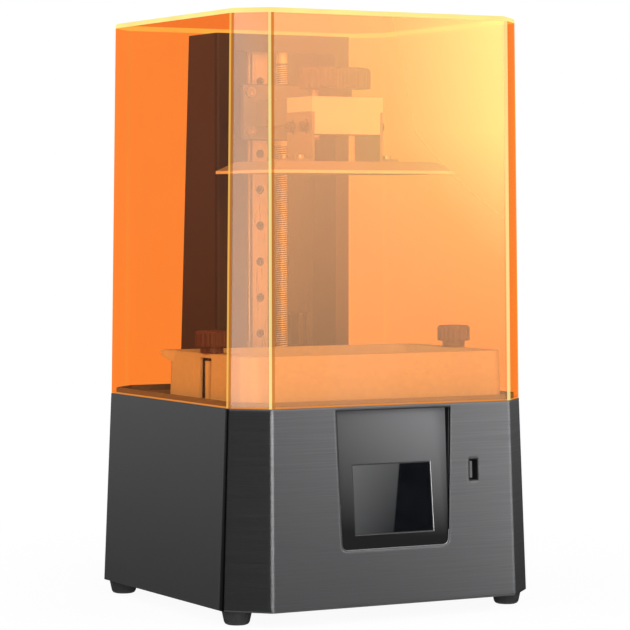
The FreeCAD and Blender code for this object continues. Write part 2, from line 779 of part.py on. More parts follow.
def column_cap():
    half_w = COLUMN_HALF_W - COLUMN_T - FIT
    front = COLUMN_Y + COLUMN_T + FIT
    back = COLUMN_Y + COLUMN_DEPTH_TOP - COVER_T - FIT
    cap = block(-half_w, half_w, front, back, CAP_Z, CAP_Z + CAP_T)
    return cap.cut(rod(SCREW_X, SCREW_Y, 0, SPAN * 2, BEARING_R + RUN_FIT))


def rail_hole_levels():
    first = DECK_Z + RAIL_LIFT + RAIL_HOLE_PITCH / 2
    count = int((CAP_Z - first) / RAIL_HOLE_PITCH) + 1
    return [first + RAIL_HOLE_PITCH * i for i in range(count)]


def column_spine():
    spine = block(-SPINE_HALF_W, SPINE_HALF_W, SPINE_Y, SPINE_Y + SPINE_T, DECK_Z, CAP_Z)
    holes = []
    for z in rail_hole_levels():
        start = V(RAIL_X, SPINE_Y - 1, z)
        holes.append(Part.makeCylinder(RAIL_SCREW_R + RUN_FIT, SPINE_T + 2, start, V(0, 1, 0)))
    return spine.cut(holes)


def linear_rail():
    half = RAIL_W / 2
    z0 = DECK_Z + RAIL_LIFT
    rail = block(RAIL_X - half, RAIL_X + half, RAIL_FACE, SPINE_Y, z0, CAP_Z - 2)
    cuts = []
    for side in (-1, 1):
        cuts.append(rod(RAIL_X + side * (half + 0.4), RAIL_FACE + RAIL_H / 2, 0, SPAN, 1.6))
    for z in rail_hole_levels():
        start = V(RAIL_X, RAIL_FACE - 1, z)
        cuts.append(Part.makeCylinder(RAIL_SINK_R, RAIL_SINK_H + 1, start, V(0, 1, 0)))
        cuts.append(Part.makeCylinder(RAIL_HOLE_R, RAIL_H + 2, start, V(0, 1, 0)))
    return rail.cut(cuts)


def rail_screws():
    made = []
    seat = RAIL_FACE + RAIL_SINK_H
    for z in rail_hole_levels():
        tip = V(RAIL_X, SPINE_Y + SPINE_T - 1, z)
        made.append(cap_screw(tip, V(0, -1, 0), RAIL_SCREW_R, tip.y - seat, 2.7, 3.0))
    return made


def motor_bolt_places():
    return [(SCREW_X + i * MOTOR_BOLT, SCREW_Y + j * MOTOR_BOLT) for i in (-1, 1) for j in (-1, 1)]


def z_motor():
    half = MOTOR_W / 2
    z0 = DECK_LOW - MOTOR_H
    case = block(SCREW_X - half, SCREW_X + half, SCREW_Y - half, SCREW_Y + half, z0, DECK_LOW)
    case = case.makeChamfer(MOTOR_CORNER, [e for e in case.Edges if e.BoundBox.ZLength > 1])
    case = case.fuse(rod(SCREW_X, SCREW_Y, DECK_LOW, DECK_LOW + MOTOR_BOSS_H, MOTOR_BOSS_R))
    cuts = [rod(SCREW_X, SCREW_Y, z0 + 8, SPAN, MOTOR_SHAFT_R + RUN_FIT)]
    cuts += [rod(x, y, DECK_LOW - 5, SPAN, MOTOR_SCREW_R + RUN_FIT) for x, y in motor_bolt_places()]
    return case.cut(cuts)


def motor_head_z():
    return DECK_Z - FIT - MOTOR_HEAD_H


def motor_screws():
    tip = DECK_LOW - 4
    made = []
    for x, y in motor_bolt_places():
        length = motor_head_z() - tip
        made.append(cap_screw(V(x, y, tip), V(0, 0, 1), MOTOR_SCREW_R, length, MOTOR_HEAD_R, MOTOR_HEAD_H))
    return made


def coupling_step():
    return DECK_Z + SCREW_LIFT


def motor_shaft():
    return rod(SCREW_X, SCREW_Y, DECK_LOW - MOTOR_H + 8 + SLIDE_GAP, coupling_step() - 1, MOTOR_SHAFT_R)


def shaft_coupling():
    z0 = DECK_Z + COUPLING_LIFT
    body = rod(SCREW_X, SCREW_Y, z0, z0 + COUPLING_H, COUPLING_R)
    step = coupling_step() - 0.5
    lower = rod(SCREW_X, SCREW_Y, z0 - 1, step, MOTOR_SHAFT_R + RUN_FIT)
    upper = rod(SCREW_X, SCREW_Y, step, z0 + COUPLING_H + 1, SCREW_R + RUN_FIT)
    return body.cut([lower, upper])


def lead_screw():
    # The thread is drawn as even grooves on its real pitch.
    z0 = coupling_step()
    thread_low = DECK_Z + COUPLING_LIFT + COUPLING_H + 2
    thread_top = CAP_Z - JOURNAL_H
    root = SCREW_R - THREAD_DEPTH
    points = [V(0, 0, z0), V(SCREW_R, 0, z0)]
    turns = int((thread_top - thread_low) / THREAD_PITCH)
    for i in range(turns):
        z = thread_low + THREAD_PITCH * i
        points.append(V(SCREW_R, 0, z))
        points.append(V(root, 0, z + THREAD_FLANK))
        points.append(V(root, 0, z + THREAD_PITCH - THREAD_CREST - THREAD_FLANK))
        points.append(V(SCREW_R, 0, z + THREAD_PITCH - THREAD_CREST))
    end = CAP_Z + CAP_T
    points += [V(SCREW_R, 0, end), V(0, 0, end)]
    return polygon_face(points).revolve(V(0, 0, 0), V(0, 0, 1), 360).translated(V(SCREW_X, SCREW_Y, 0))


def top_bearing():
    return ring(SCREW_X, SCREW_Y, CAP_Z, CAP_Z + CAP_T, BEARING_R, SCREW_R + RUN_FIT)


def limit_sensor():
    x0 = SENSOR_X - SENSOR_HALF_W
    x1 = SENSOR_X + SENSOR_HALF_W
    z0 = DECK_Z + SENSOR_LIFT
    body = block(x0, x1, SPINE_Y - SENSOR_D, SPINE_Y, z0, z0 + SENSOR_H)
    slot = block(SENSOR_X - SENSOR_SLOT_HALF, SENSOR_X + SENSOR_SLOT_HALF, 0, SPINE_Y - 3, 0, SPAN)
    return body.cut(slot)


# Carriage and arm

def rail_block():
    half = RAIL_BLOCK_W / 2
    z1 = CARRIAGE_Z + CARRIAGE_H
    z0 = z1 - RAIL_BLOCK_L
    body = block(RAIL_X - half, RAIL_X + half, CARRIAGE_BACK, CARRIAGE_BACK + RAIL_BLOCK_T, z0, z1)
    way = RAIL_W / 2 + SLIDE_GAP
    return body.cut(block(RAIL_X - way, RAIL_X + way, RAIL_FACE - SLIDE_GAP, SPAN, 0, SPAN))


def arm_screw_places():
    middle = CARRIAGE_Z + CARRIAGE_H / 2
    return [(i * ARM_SCREW_X, middle + j * ARM_SCREW_Z) for i in (-1, 1) for j in (-1, 1)]


def carriage_plate():
    z1 = CARRIAGE_Z + CARRIAGE_H
    plate = block(-CARRIAGE_HALF_W, CARRIAGE_HALF_W, CARRIAGE_Y, CARRIAGE_BACK, CARRIAGE_Z, z1)
    lug = block(LUG_X0, LUG_X1, CARRIAGE_BACK, CARRIAGE_BACK + LUG_D, CARRIAGE_Z, CARRIAGE_Z + LUG_H)
    cuts = [rod(SCREW_X, SCREW_Y, 0, CARRIAGE_Z + LUG_H + 5, NUT_R + FIT)]
    cuts.append(rod(SCREW_X, SCREW_Y, 0, SPAN, SCREW_R + SLIDE_GAP))
    for x, z in arm_screw_places():
        cuts.append(Part.makeCylinder(2 + RUN_FIT, 10, V(x, CARRIAGE_Y - 2, z), V(0, 1, 0)))
    return plate.fuse(lug).cut(cuts)


def lead_nut():
    body = rod(SCREW_X, SCREW_Y, CARRIAGE_Z, CARRIAGE_Z + LUG_H, NUT_R)
    flange = rod(SCREW_X, SCREW_Y, CARRIAGE_Z - NUT_FLANGE_H, CARRIAGE_Z, NUT_FLANGE_R)
    return body.fuse(flange).cut(rod(SCREW_X, SCREW_Y, 0, SPAN, SCREW_R + RUN_FIT))


def limit_flag():
    half = FLAG_T / 2
    z0 = CARRIAGE_Z + 5
    return block(SENSOR_X - half, SENSOR_X + half, CARRIAGE_BACK, CARRIAGE_BACK + FLAG_D, z0, z0 + FLAG_H)


def z_arm():
    flange_y = CARRIAGE_Y - ARM_FLANGE_T
    z1 = CARRIAGE_Z + CARRIAGE_H
    flange = block(-CARRIAGE_HALF_W, CARRIAGE_HALF_W, flange_y, CARRIAGE_Y, CARRIAGE_Z + 1, z1 - 1)
    beam = block(-ARM_HALF_W, ARM_HALF_W, CLAMP_Y1 + 0.5, flange_y, ARM_Z, CLAMP_TOP)
    front = CLAMP_Y0 + CLAMP_FRONT_WALL + SLIDE_GAP
    tongue = block(-TONGUE_HALF_W, TONGUE_HALF_W, front, CLAMP_Y1 + 0.5, ARM_Z, ARM_Z + TONGUE_T)
    holes = []
    for x, z in arm_screw_places():
        holes.append(Part.makeCylinder(2 + RUN_FIT, 10, V(x, flange_y - 2, z), V(0, 1, 0)))
    return join([flange, beam, tongue]).cut(holes)


def arm_screws():
    head_y = CARRIAGE_Y - ARM_FLANGE_T
    tip_y = CARRIAGE_BACK - 0.2
    length = tip_y - head_y
    return [cap_screw(V(x, tip_y, z), V(0, -1, 0), 2.0, length, 3.5, 3.6) for x, z in arm_screw_places()]


# Build platform

def build_plate():
    rings = []
    for z, inset in ((PLATE_Z + PLATE_EDGE, 0.0), (PLATE_TOP, PLATE_INSET)):
        x = PLATE_W / 2 - inset
        y = PLATE_D / 2 - inset
        rings.append([V(-x, VAT_Y - y, z), V(x, VAT_Y - y, z), V(x, VAT_Y + y, z), V(-x, VAT_Y + y, z)])
    half_w = PLATE_W / 2
    half_d = PLATE_D / 2
    slab = block(-half_w, half_w, VAT_Y - half_d, VAT_Y + half_d, PLATE_Z, PLATE_Z + PLATE_EDGE)
    plate = slab.fuse(prismatoid(rings[0], rings[1]))
    holes = [rod(x, y, PLATE_TOP - 5, PLATE_TOP + 5, 2 + RUN_FIT) for x, y in bracket_screw_places()]
    return plate.cut(holes)


def bracket_screw_places():
    x = BRACKET_HALF + BRACKET_FOOT / 2
    y = (CLAMP_Y1 - CLAMP_Y0) / 2 - 6
    return [(i * x, KNOB_Y + j * y) for i in (-1, 1) for j in (-1, 1)]


def levelling_places():
    z = CLAMP_Z + 5
    y = (CLAMP_Y1 - CLAMP_Y0) / 2 - 8
    return [(side, KNOB_Y + j * y, z) for side in (-1, 1) for j in (-1, 1)]


def platform_bracket(side):
    leg = block(BRACKET_HALF - BRACKET_T, BRACKET_HALF, CLAMP_Y0, CLAMP_Y1, PLATE_TOP, PLATE_TOP + BRACKET_H)
    foot_end = BRACKET_HALF + BRACKET_FOOT
    foot = block(BRACKET_HALF - BRACKET_T, foot_end, CLAMP_Y0, CLAMP_Y1, PLATE_TOP, PLATE_TOP + BRACKET_T)
    bracket = join([leg, foot])
    if side < 0:
        bracket = bracket.mirror(V(0, 0, 0), V(1, 0, 0))
    cuts = [rod(x, y, 0, SPAN, 2 + RUN_FIT) for x, y in bracket_screw_places()]
    for way, y, z in levelling_places():
        hole = Part.makeCylinder(2 + RUN_FIT, 2 * BRACKET_HALF, V(0, y, z), V(way, 0, 0))
        slot = hole.fuse([hole.translated(V(0, 0, 3)), hole.translated(V(0, 0, -3))])
        cuts.append(slot)
    return bracket.cut(cuts)


def bracket_screws():
    tip = PLATE_TOP - 4.5
    length = PLATE_TOP + BRACKET_T - tip
    return [cap_screw(V(x, y, tip), V(0, 0, 1), 2.0, length, 3.5, 2.4) for x, y in bracket_screw_places()]


def levelling_screws():
    made = []
    inner = BRACKET_HALF - BRACKET_T - 8
    length = BRACKET_HALF - inner
    for side, y, z in levelling_places():
        made.append(cap_screw(V(side * inner, y, z), V(side, 0, 0), 2.0, length, 3.6, 3.8))
    return made


def platform_block():
    lower_half = BRACKET_HALF - BRACKET_T - FIT
    shoulder_z = CLAMP_TOP - CLAMP_SHOULDER_H + FIT
    lower = block(-lower_half, lower_half, CLAMP_Y0, CLAMP_Y1, CLAMP_Z, CLAMP_TOP)
    upper = block(-BRACKET_HALF, BRACKET_HALF, CLAMP_Y0, CLAMP_Y1, shoulder_z, CLAMP_TOP)
    body = join([lower, upper])
    half = TONGUE_HALF_W + SLIDE_GAP
    low = ARM_Z - SLIDE_GAP
    high = ARM_Z + TONGUE_T + SLIDE_GAP
    cuts = [block(-half, half, CLAMP_Y0 + CLAMP_FRONT_WALL, SPAN, low, high)]
    cuts.append(rod(0, KNOB_Y, high - 1, SPAN, KNOB_STUD_R + RUN_FIT))
    for side, y, z in levelling_places():
        start = BRACKET_HALF - BRACKET_T - 8.5
        cuts.append(Part.makeCylinder(2 + RUN_FIT, 20, V(side * start, y, z), V(side, 0, 0)))
    return body.cut(cuts)


def platform_knob():
    neck_z = CLAMP_TOP + SLIDE_GAP
    head_z = neck_z + KNOB_NECK_H
    head = fluted_head(0, KNOB_Y, head_z, head_z + KNOB_H, KNOB_R, KNOB_FLUTES, KNOB_FLUTE_R)
    neck = rod(0, KNOB_Y, neck_z, head_z, KNOB_NECK_R)
    stud = rod(0, KNOB_Y, ARM_Z + TONGUE_T + SLIDE_GAP, neck_z, KNOB_STUD_R)
    return head.fuse([neck, stud])


# Vat

def vat_seats():
    made = []
    front = VAT_Y - SEAT_FRONT
    rear = VAT_Y + SEAT_FRONT
    inset = HOOD_WALL + LIP_GAP + LIP_T + FIT
    inside_lip = prismatoid(case_outline(DECK_Z, inset), case_outline(RIM_Z, inset))
    for side in (-1, 1):
        pieces = [block(SEAT_STRIP_IN, SEAT_HALF_OUT, front, rear, DECK_Z, SEAT_TOP)]
        pieces.append(block(SEAT_HALF_IN, SEAT_HALF_OUT, front, front + SEAT_PAD_D, DECK_Z, SEAT_TOP))
        pieces.append(block(SEAT_HALF_IN, SEAT_HALF_OUT, rear - SEAT_PAD_D, rear, DECK_Z, SEAT_TOP))
        pieces.append(rod(THUMB_X, THUMB_Y, DECK_Z, RIM_Z - RIM_T - POST_DROP, POST_R))
        seat = join(pieces).cut(rod(THUMB_X, THUMB_Y, SEAT_TOP, SPAN, THUMB_SHANK_R + RUN_FIT))
        if side < 0:
            seat = seat.mirror(V(0, 0, 0), V(1, 0, 0))
        made.append(seat.common(inside_lip))
    return made


def spout_wedge(start, end, half0, half1, low0, low1, top):
    # A wedge along +X that narrows and rises from its root to its tip.
    root = [V(start, -half0, low0), V(start, half0, low0), V(start, half0, top), V(start, -half0, top)]
    tip = [V(end, -half1, low1), V(end, half1, low1), V(end, half1, top), V(end, -half1, top)]
    return prismatoid(root, tip)


def at_spout(shape):
    x = -VAT_HALF_W + VAT_CORNER_R
    y = VAT_Y + VAT_HALF_D - VAT_CORNER_R
    return shape.rotated(V(0, 0, 0), V(0, 0, 1), 135).translated(V(x, y, 0))


def vat_body():
    outer = drafted_box(VAT_HALF_W, VAT_HALF_D, VAT_DRAFT, VAT_Z, RIM_Z, VAT_CORNER_R)
    skirt_in = VAT_HALF_W - VAT_WALL
    skirt_in_d = VAT_HALF_D - VAT_WALL
    under_top = RIM_Z - RIM_T
    under = drafted_box(skirt_in, skirt_in_d, VAT_DRAFT, VAT_Z - 1, under_top, VAT_CORNER_R - VAT_WALL)
    tub_w = CAVITY_HALF_W + CAVITY_DRAFT + VAT_WALL
    tub_d = CAVITY_HALF_D + CAVITY_DRAFT + VAT_WALL
    tub = drafted_box(tub_w, tub_d, 0.0, VAT_Z - 2, RIM_Z, CAVITY_R + VAT_WALL)
    spout_z = RIM_Z - SPOUT_ROOT_H
    spout = spout_wedge(2, 2 + SPOUT_L, SPOUT_ROOT_HALF, SPOUT_TIP_HALF, spout_z, RIM_Z - SPOUT_TIP_H, RIM_Z)
    body = outer.cut(under.cut(tub)).fuse(at_spout(spout))
    cavity = drafted_box(
        CAVITY_HALF_W + CAVITY_DRAFT, CAVITY_HALF_D + CAVITY_DRAFT, -CAVITY_DRAFT, VAT_Z, RIM_Z + 1, CAVITY_R
    )
    foot_hole = drafted_box(CAVITY_HALF_W, CAVITY_HALF_D, 0.0, VAT_Z - 1, VAT_Z + 1, CAVITY_R)
    half0 = SPOUT_ROOT_HALF - CHANNEL_WALL
    half1 = SPOUT_TIP_HALF - CHANNEL_WALL
    tip_low = RIM_Z - SPOUT_TIP_H + CHANNEL_WALL
    channel = spout_wedge(-16, 3 + SPOUT_L, half0, half1, RIM_Z - CHANNEL_DEPTH, tip_low, RIM_Z + 1)
    cuts = [cavity, foot_hole, at_spout(channel)]
    for side in (-1, 1):
        x0 = min(side * (tub_w + 0.5), side * SPAN)
        x1 = max(side * (tub_w + 0.5), side * SPAN)
        cuts.append(block(x0, x1, THUMB_Y - NOTCH_HALF, THUMB_Y + NOTCH_HALF, 0, under_top))
        cuts.append(rod(side * THUMB_X, THUMB_Y, 0, SPAN, THUMB_SHANK_R + SLIDE_GAP))
    return body.cut(cuts)


def film_screw_places():
    x_edge = (CAVITY_HALF_W + FRAME_HALF_W) / 2
    y_edge = (CAVITY_HALF_D + FRAME_HALF_D) / 2
    along = int(FRAME_HALF_W / FILM_SCREW_PITCH)
    across = int(FRAME_HALF_D / FILM_SCREW_PITCH)
    places = []
    for side in (-1, 1):
        places += [(i * FILM_SCREW_PITCH, VAT_Y + side * y_edge) for i in range(-along, along + 1)]
        places += [(side * x_edge, VAT_Y + j * FILM_SCREW_PITCH) for j in range(-across, across + 1)]
    return places


def film_holes():
    return [rod(x, y, 0, SPAN, FILM_SCREW_R + RUN_FIT) for x, y in film_screw_places()]


def film_sheet(z0, z1):
    return drafted_box(CAVITY_HALF_W - FIT, CAVITY_HALF_D - FIT, 0.0, z0, z1, CAVITY_R - FIT)


def film_frame():
    opening = drafted_box(FRAME_HALF_W, FRAME_HALF_D, 0.0, VAT_Z - 1, VAT_Z + FRAME_T + 1, FRAME_R)
    return film_sheet(VAT_Z, VAT_Z + FRAME_T).cut([opening] + film_holes())


def vat_film():
    return film_sheet(VAT_Z - FILM_T, VAT_Z).cut(film_holes())


def film_screws():
    tip = VAT_Z + FRAME_T - 0.5
    length = tip - (VAT_Z - FILM_T)
    down = V(0, 0, -1)
    return [cap_screw(V(x, y, tip), down, FILM_SCREW_R, length, 1.9, 1.1) for x, y in film_screw_places()]


def thumb_screw(side):
    x = side * THUMB_X
    neck_z = RIM_Z + SEAT_GAP
    head_z = neck_z + THUMB_NECK_H
    head = fluted_head(x, THUMB_Y, head_z, head_z + THUMB_H, THUMB_R, THUMB_FLUTES, THUMB_FLUTE_R)
    neck = rod(x, THUMB_Y, neck_z, head_z, THUMB_NECK_R)
    shank = rod(x, THUMB_Y, neck_z - THUMB_SHANK_L, neck_z, THUMB_SHANK_R)
    return head.fuse([neck, shank])


NODES = {
    "base_front_panel": base_front_panel,
    "base_rear_shell": base_rear_shell,
    "bottom_plate": bottom_plate,
    "feet": feet,
    "foot_screws": foot_screws,
    "deck_plate": deck_plate,
    "display_bezel": display_bezel,
    "display_glass": display_glass,
    "display_module": display_module,
    "usb_shell": usb_shell,
    "usb_tongue": usb_tongue,
    "mask_lcd": mask_lcd,
    "light_housing": light_housing,
    "condenser_lens": condenser_lens,
    "led_board": led_board,
    "uv_leds": uv_leds,
    "heat_sink": heat_sink,
    "fan_frame": fan_frame,
    "fan_rotor": fan_rotor,
    "mainboard": mainboard,
    "board_standoffs": board_standoffs,
    "board_parts": board_parts,
    "dc_jack": dc_jack,
    "switch_frame": switch_frame,
    "switch_rocker": switch_rocker,
    "z_motor": z_motor,
    "motor_screws": motor_screws,
    "motor_shaft": motor_shaft,
    "shaft_coupling": shaft_coupling,
    "column_frame": column_frame,
    "column_cover": column_cover,
    "column_cap": column_cap,
    "column_spine": column_spine,
    "linear_rail": linear_rail,
    "rail_screws": rail_screws,
    "lead_screw": lead_screw,
    "top_bearing": top_bearing,
    "limit_sensor": limit_sensor,
    "rail_block": rail_block,
    "carriage_plate": carriage_plate,
    "lead_nut": lead_nut,
    "limit_flag": limit_flag,
    "z_arm": z_arm,
    "arm_screws": arm_screws,
    "build_plate": build_plate,
    "platform_bracket_left": lambda: platform_bracket(-1),
    "platform_bracket_right": lambda: platform_bracket(1),
    "bracket_screws": bracket_screws,
    "levelling_screws": levelling_screws,
    "platform_block": platform_block,
    "platform_knob": platform_knob,
    "vat_seats": vat_seats,
    "vat_body": vat_body,
    "film_frame": film_frame,
    "vat_film": vat_film,
    "film_screws": film_screws,
    "thumb_screw_left": lambda: thumb_screw(-1),
    "thumb_screw_right": lambda: thumb_screw(1),
    "hood": hood,
}


def main():
    os.makedirs("parts", exist_ok=True)
    for name, make in NODES.items():
        made = make()
        shape = Part.makeCompound(made) if isinstance(made, list) else made
        if not shape.isValid():
            print("not valid:", name)
        shape.exportStep(f"parts/{name}.step")
        box = shape.BoundBox
        size = f"{box.XLength:.1f} x {box.YLength:.1f} x {box.ZLength:.1f}"
        print(f"{name}: {len(shape.Solids)} solids, {size}")


main()
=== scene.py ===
# %% [markdown]
# # A desktop resin printer
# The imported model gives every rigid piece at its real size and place. This lesson adds what it lacks:
# the finish of each surface, the glowing edges of the hood, the real thread of the screw, and softened
# edges where the eye looks for them. The box of the model is kept, to compare with the finished one.

# %% Load the frame
import bmesh
import bpy
import json
import math
from mathutils import Matrix, Vector


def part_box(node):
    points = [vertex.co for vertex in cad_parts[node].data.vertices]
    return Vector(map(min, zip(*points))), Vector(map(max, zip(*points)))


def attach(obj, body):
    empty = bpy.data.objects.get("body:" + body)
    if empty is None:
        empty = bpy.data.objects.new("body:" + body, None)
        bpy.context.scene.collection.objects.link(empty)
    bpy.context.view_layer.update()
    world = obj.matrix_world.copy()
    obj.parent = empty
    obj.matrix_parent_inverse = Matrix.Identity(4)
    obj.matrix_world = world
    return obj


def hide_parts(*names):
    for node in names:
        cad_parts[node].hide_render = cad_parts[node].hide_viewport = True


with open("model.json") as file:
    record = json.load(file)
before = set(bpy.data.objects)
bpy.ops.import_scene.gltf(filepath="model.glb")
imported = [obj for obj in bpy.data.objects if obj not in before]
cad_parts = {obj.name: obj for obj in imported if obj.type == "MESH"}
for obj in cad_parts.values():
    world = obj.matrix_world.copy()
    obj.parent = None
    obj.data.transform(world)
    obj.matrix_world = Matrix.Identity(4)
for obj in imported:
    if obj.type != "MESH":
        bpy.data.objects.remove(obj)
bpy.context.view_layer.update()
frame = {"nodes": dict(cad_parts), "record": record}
scene = bpy.context.scene
scene.view_settings.view_transform = "Standard"

# %% [markdown]
# ## The camera
# A long lens from the front left, a little above the middle of the machine. The place was solved from
# the corners of the case, so the straight edges fall where they should, with no shift of the lens.

# %% Camera
IMAGE_PX = 630
FOCAL_PX = 2820.95
SENSOR_MM = 36.0
CAMERA_AT = Vector((-0.92106, -1.68608, 0.26399))
CAMERA_YAW = math.radians(-28.7)
AIM_RIGHT = 0.0018
AIM_HEIGHT = 0.19344

right = Vector((math.cos(CAMERA_YAW), math.sin(CAMERA_YAW), 0.0))
aim = right * AIM_RIGHT + Vector((0.0, 0.0, AIM_HEIGHT))
camera_data = bpy.data.cameras.new("camera")
camera_data.sensor_width = SENSOR_MM
camera_data.lens = FOCAL_PX * SENSOR_MM / IMAGE_PX
camera = bpy.data.objects.new("camera", camera_data)
camera.location = CAMERA_AT
camera.rotation_euler = (aim - CAMERA_AT).to_track_quat("-Z", "Y").to_euler()
scene.collection.objects.link(camera)
scene.camera = camera
print("lens", round(camera_data.lens, 1), "mm")

# %% [markdown]
# ## Helpers for node materials
# Every finish here is a base shader with a grain that comes from Object coordinates, so the grain stays
# on the piece when it moves. Small functions keep each finish to a few lines. First come the ones that
# read a place or a direction and work with the number.

# %% Number helpers
NOISE_LOW = 0.3
NOISE_HIGH = 0.7


def object_point(tree):
    return tree.nodes.new("ShaderNodeTexCoord").outputs["Object"]


def part_along(tree, vector, axis):
    split = tree.nodes.new("ShaderNodeSeparateXYZ")
    tree.links.new(vector, split.inputs["Vector"])
    return split.outputs[axis]


def dot_with(tree, vector, direction):
    dot = tree.nodes.new("ShaderNodeVectorMath")
    dot.operation = "DOT_PRODUCT"
    tree.links.new(vector, dot.inputs[0])
    dot.inputs[1].default_value = direction
    return dot.outputs["Value"]


def calculate(tree, operation, first, second):
    step = tree.nodes.new("ShaderNodeMath")
    step.operation = operation
    tree.links.new(first, step.inputs[0])
    if isinstance(second, float):
        step.inputs[1].default_value = second
    else:
        tree.links.new(second, step.inputs[1])
    return step.outputs["Value"]


def multiply(tree, first, second):
    return calculate(tree, "MULTIPLY", first, second)


def spread(tree, value, low, high, start=NOISE_LOW, end=NOISE_HIGH):
    # low where the value is start, high where it is end. Noise mostly lies between the two defaults.
    remap = tree.nodes.new("ShaderNodeMapRange")
    remap.inputs["From Min"].default_value = start
    remap.inputs["From Max"].default_value = end
    remap.inputs["To Min"].default_value = low
    remap.inputs["To Max"].default_value = high
    tree.links.new(value, remap.inputs["Value"])
    return remap.outputs["Result"]


def between(tree, share, low, high):
    return spread(tree, share, low, high, 0.0, 1.0)


def axis_share(tree, axis, low, high):
    # How far a point lies along an axis, from 0 at low to 1 at high.
    return spread(tree, part_along(tree, object_point(tree), axis), 0.0, 1.0, low, high)


def facing_share(tree, axis, start, end):
    # How far a face looks along an axis, either way, from 0 at start to 1 at end.
    normal = tree.nodes.new("ShaderNodeNewGeometry").outputs["Normal"]
    size = tree.nodes.new("ShaderNodeMath")
    size.operation = "ABSOLUTE"
    tree.links.new(part_along(tree, normal, axis), size.inputs[0])
    return spread(tree, size.outputs["Value"], 0.0, 1.0, start, end)


print("number helpers ready")

# %% [markdown]
# ## Helpers for finishes
# One function makes the noise, one maps it to two tones, and one turns it into a shallow bump. A bevel
# in the shading can round the sharp edges of a piece without changing its mesh. Together they give the
# grained finish that most pieces have.

# %% Finish helpers
RELIEF_DEPTH = 0.0002
BEVEL_SAMPLES = 4
BLUE_TINGE = 1.02
WHITE = (1.0, 1.0, 1.0)


def start_finish(name):
    material = bpy.data.materials.new(name)
    material.use_nodes = True
    tree = material.node_tree
    return material, tree, tree.nodes["Principled BSDF"]


def show(tree, surface):
    tree.links.new(surface, tree.nodes["Material Output"].inputs["Surface"])


def glow_only(tree, shader):
    # A finish that only shines: a lamp takes the place of the base shader.
    tree.nodes.remove(shader)
    lamp = tree.nodes.new("ShaderNodeEmission")
    show(tree, lamp.outputs["Emission"])
    return lamp


def transparent(tree, colour):
    clear = tree.nodes.new("ShaderNodeBsdfTransparent")
    clear.inputs["Color"].default_value = (*colour, 1.0)
    return clear.outputs["BSDF"]


def mix_shaders(tree, factor, first, second):
    mix = tree.nodes.new("ShaderNodeMixShader")
    if isinstance(factor, float):
        mix.inputs["Fac"].default_value = factor
    else:
        tree.links.new(factor, mix.inputs["Fac"])
    tree.links.new(first, mix.inputs[1])
    tree.links.new(second, mix.inputs[2])
    return mix.outputs["Shader"]


def grain(tree, stretch, detail=3.0):
    mapping = tree.nodes.new("ShaderNodeMapping")
    mapping.inputs["Scale"].default_value = stretch
    tree.links.new(object_point(tree), mapping.inputs["Vector"])
    noise = tree.nodes.new("ShaderNodeTexNoise")
    noise.inputs["Scale"].default_value = 1.0
    noise.inputs["Detail"].default_value = detail
    tree.links.new(mapping.outputs["Vector"], noise.inputs["Vector"])
    return noise.outputs["Fac"]


def two_tones(tree, factor, low, high, start=NOISE_LOW, end=NOISE_HIGH):
    ramp = tree.nodes.new("ShaderNodeValToRGB")
    for stop, place, tone in zip(ramp.color_ramp.elements, (start, end), (low, high)):
        stop.position = place
        stop.color = (*tone, 1.0)
    tree.links.new(factor, ramp.inputs["Fac"])
    return ramp.outputs["Color"]


def add_relief(tree, shader, height, strength, edge_radius=0.0):
    bump = tree.nodes.new("ShaderNodeBump")
    bump.inputs["Strength"].default_value = strength
    bump.inputs["Distance"].default_value = RELIEF_DEPTH
    tree.links.new(height, bump.inputs["Height"])
    if edge_radius:
        soft_edge = tree.nodes.new("ShaderNodeBevel")
        soft_edge.samples = BEVEL_SAMPLES
        soft_edge.inputs["Radius"].default_value = edge_radius
        tree.links.new(soft_edge.outputs["Normal"], bump.inputs["Normal"])
    tree.links.new(bump.outputs["Normal"], shader.inputs["Normal"])


def grained(name, low, high, stretch, rough, relief=0.1, metal=0.0, edge_radius=0.0):
    material, tree, shader = start_finish(name)
    noise = grain(tree, stretch)
    tree.links.new(two_tones(tree, noise, low, high), shader.inputs["Base Color"])
    tree.links.new(spread(tree, noise, *rough), shader.inputs["Roughness"])
    shader.inputs["Metallic"].default_value = metal
    add_relief(tree, shader, noise, relief, edge_radius)
    return material


def grey(value):
    return (value, value, value * BLUE_TINGE)


print("finish helpers ready")

# %% [markdown]
# ## The metal of the base
# The front and its two chamfers are brushed: long fine scratches that run level round the machine. A
# noise that is stretched far along X and Y and squeezed along Z draws them on every face at once. The
# sides and back are painted, with a fine orange-peel grain that only shows in the highlights.

# %% Case finishes
SCRATCH = (16.0, 16.0, 1500.0)
SCRATCH_DETAIL = 4.0
PAINT_PEEL = (900.0, 900.0, 900.0)
RUBBER_GRAIN = (500.0, 500.0, 500.0)
# Faces turned this far towards X take the painted shade of the rolled edge.
ROLLED_EDGE_SHADE = (0.85, 0.76)
PANEL_TONES_AND_SHADE = (0.004, 0.19)
PANEL_ROUND = 0.0025
# Painted light and shade of the bezel: its two tones, the facing that paints its rim black, and its gain
# from left to right.
BEZEL_SHADE_TONES = (0.006, 0.15)
BEZEL_RIM_SHADE = (0.5, 0.9)
BEZEL_LIGHT_ACROSS = (0.55, 1.2)


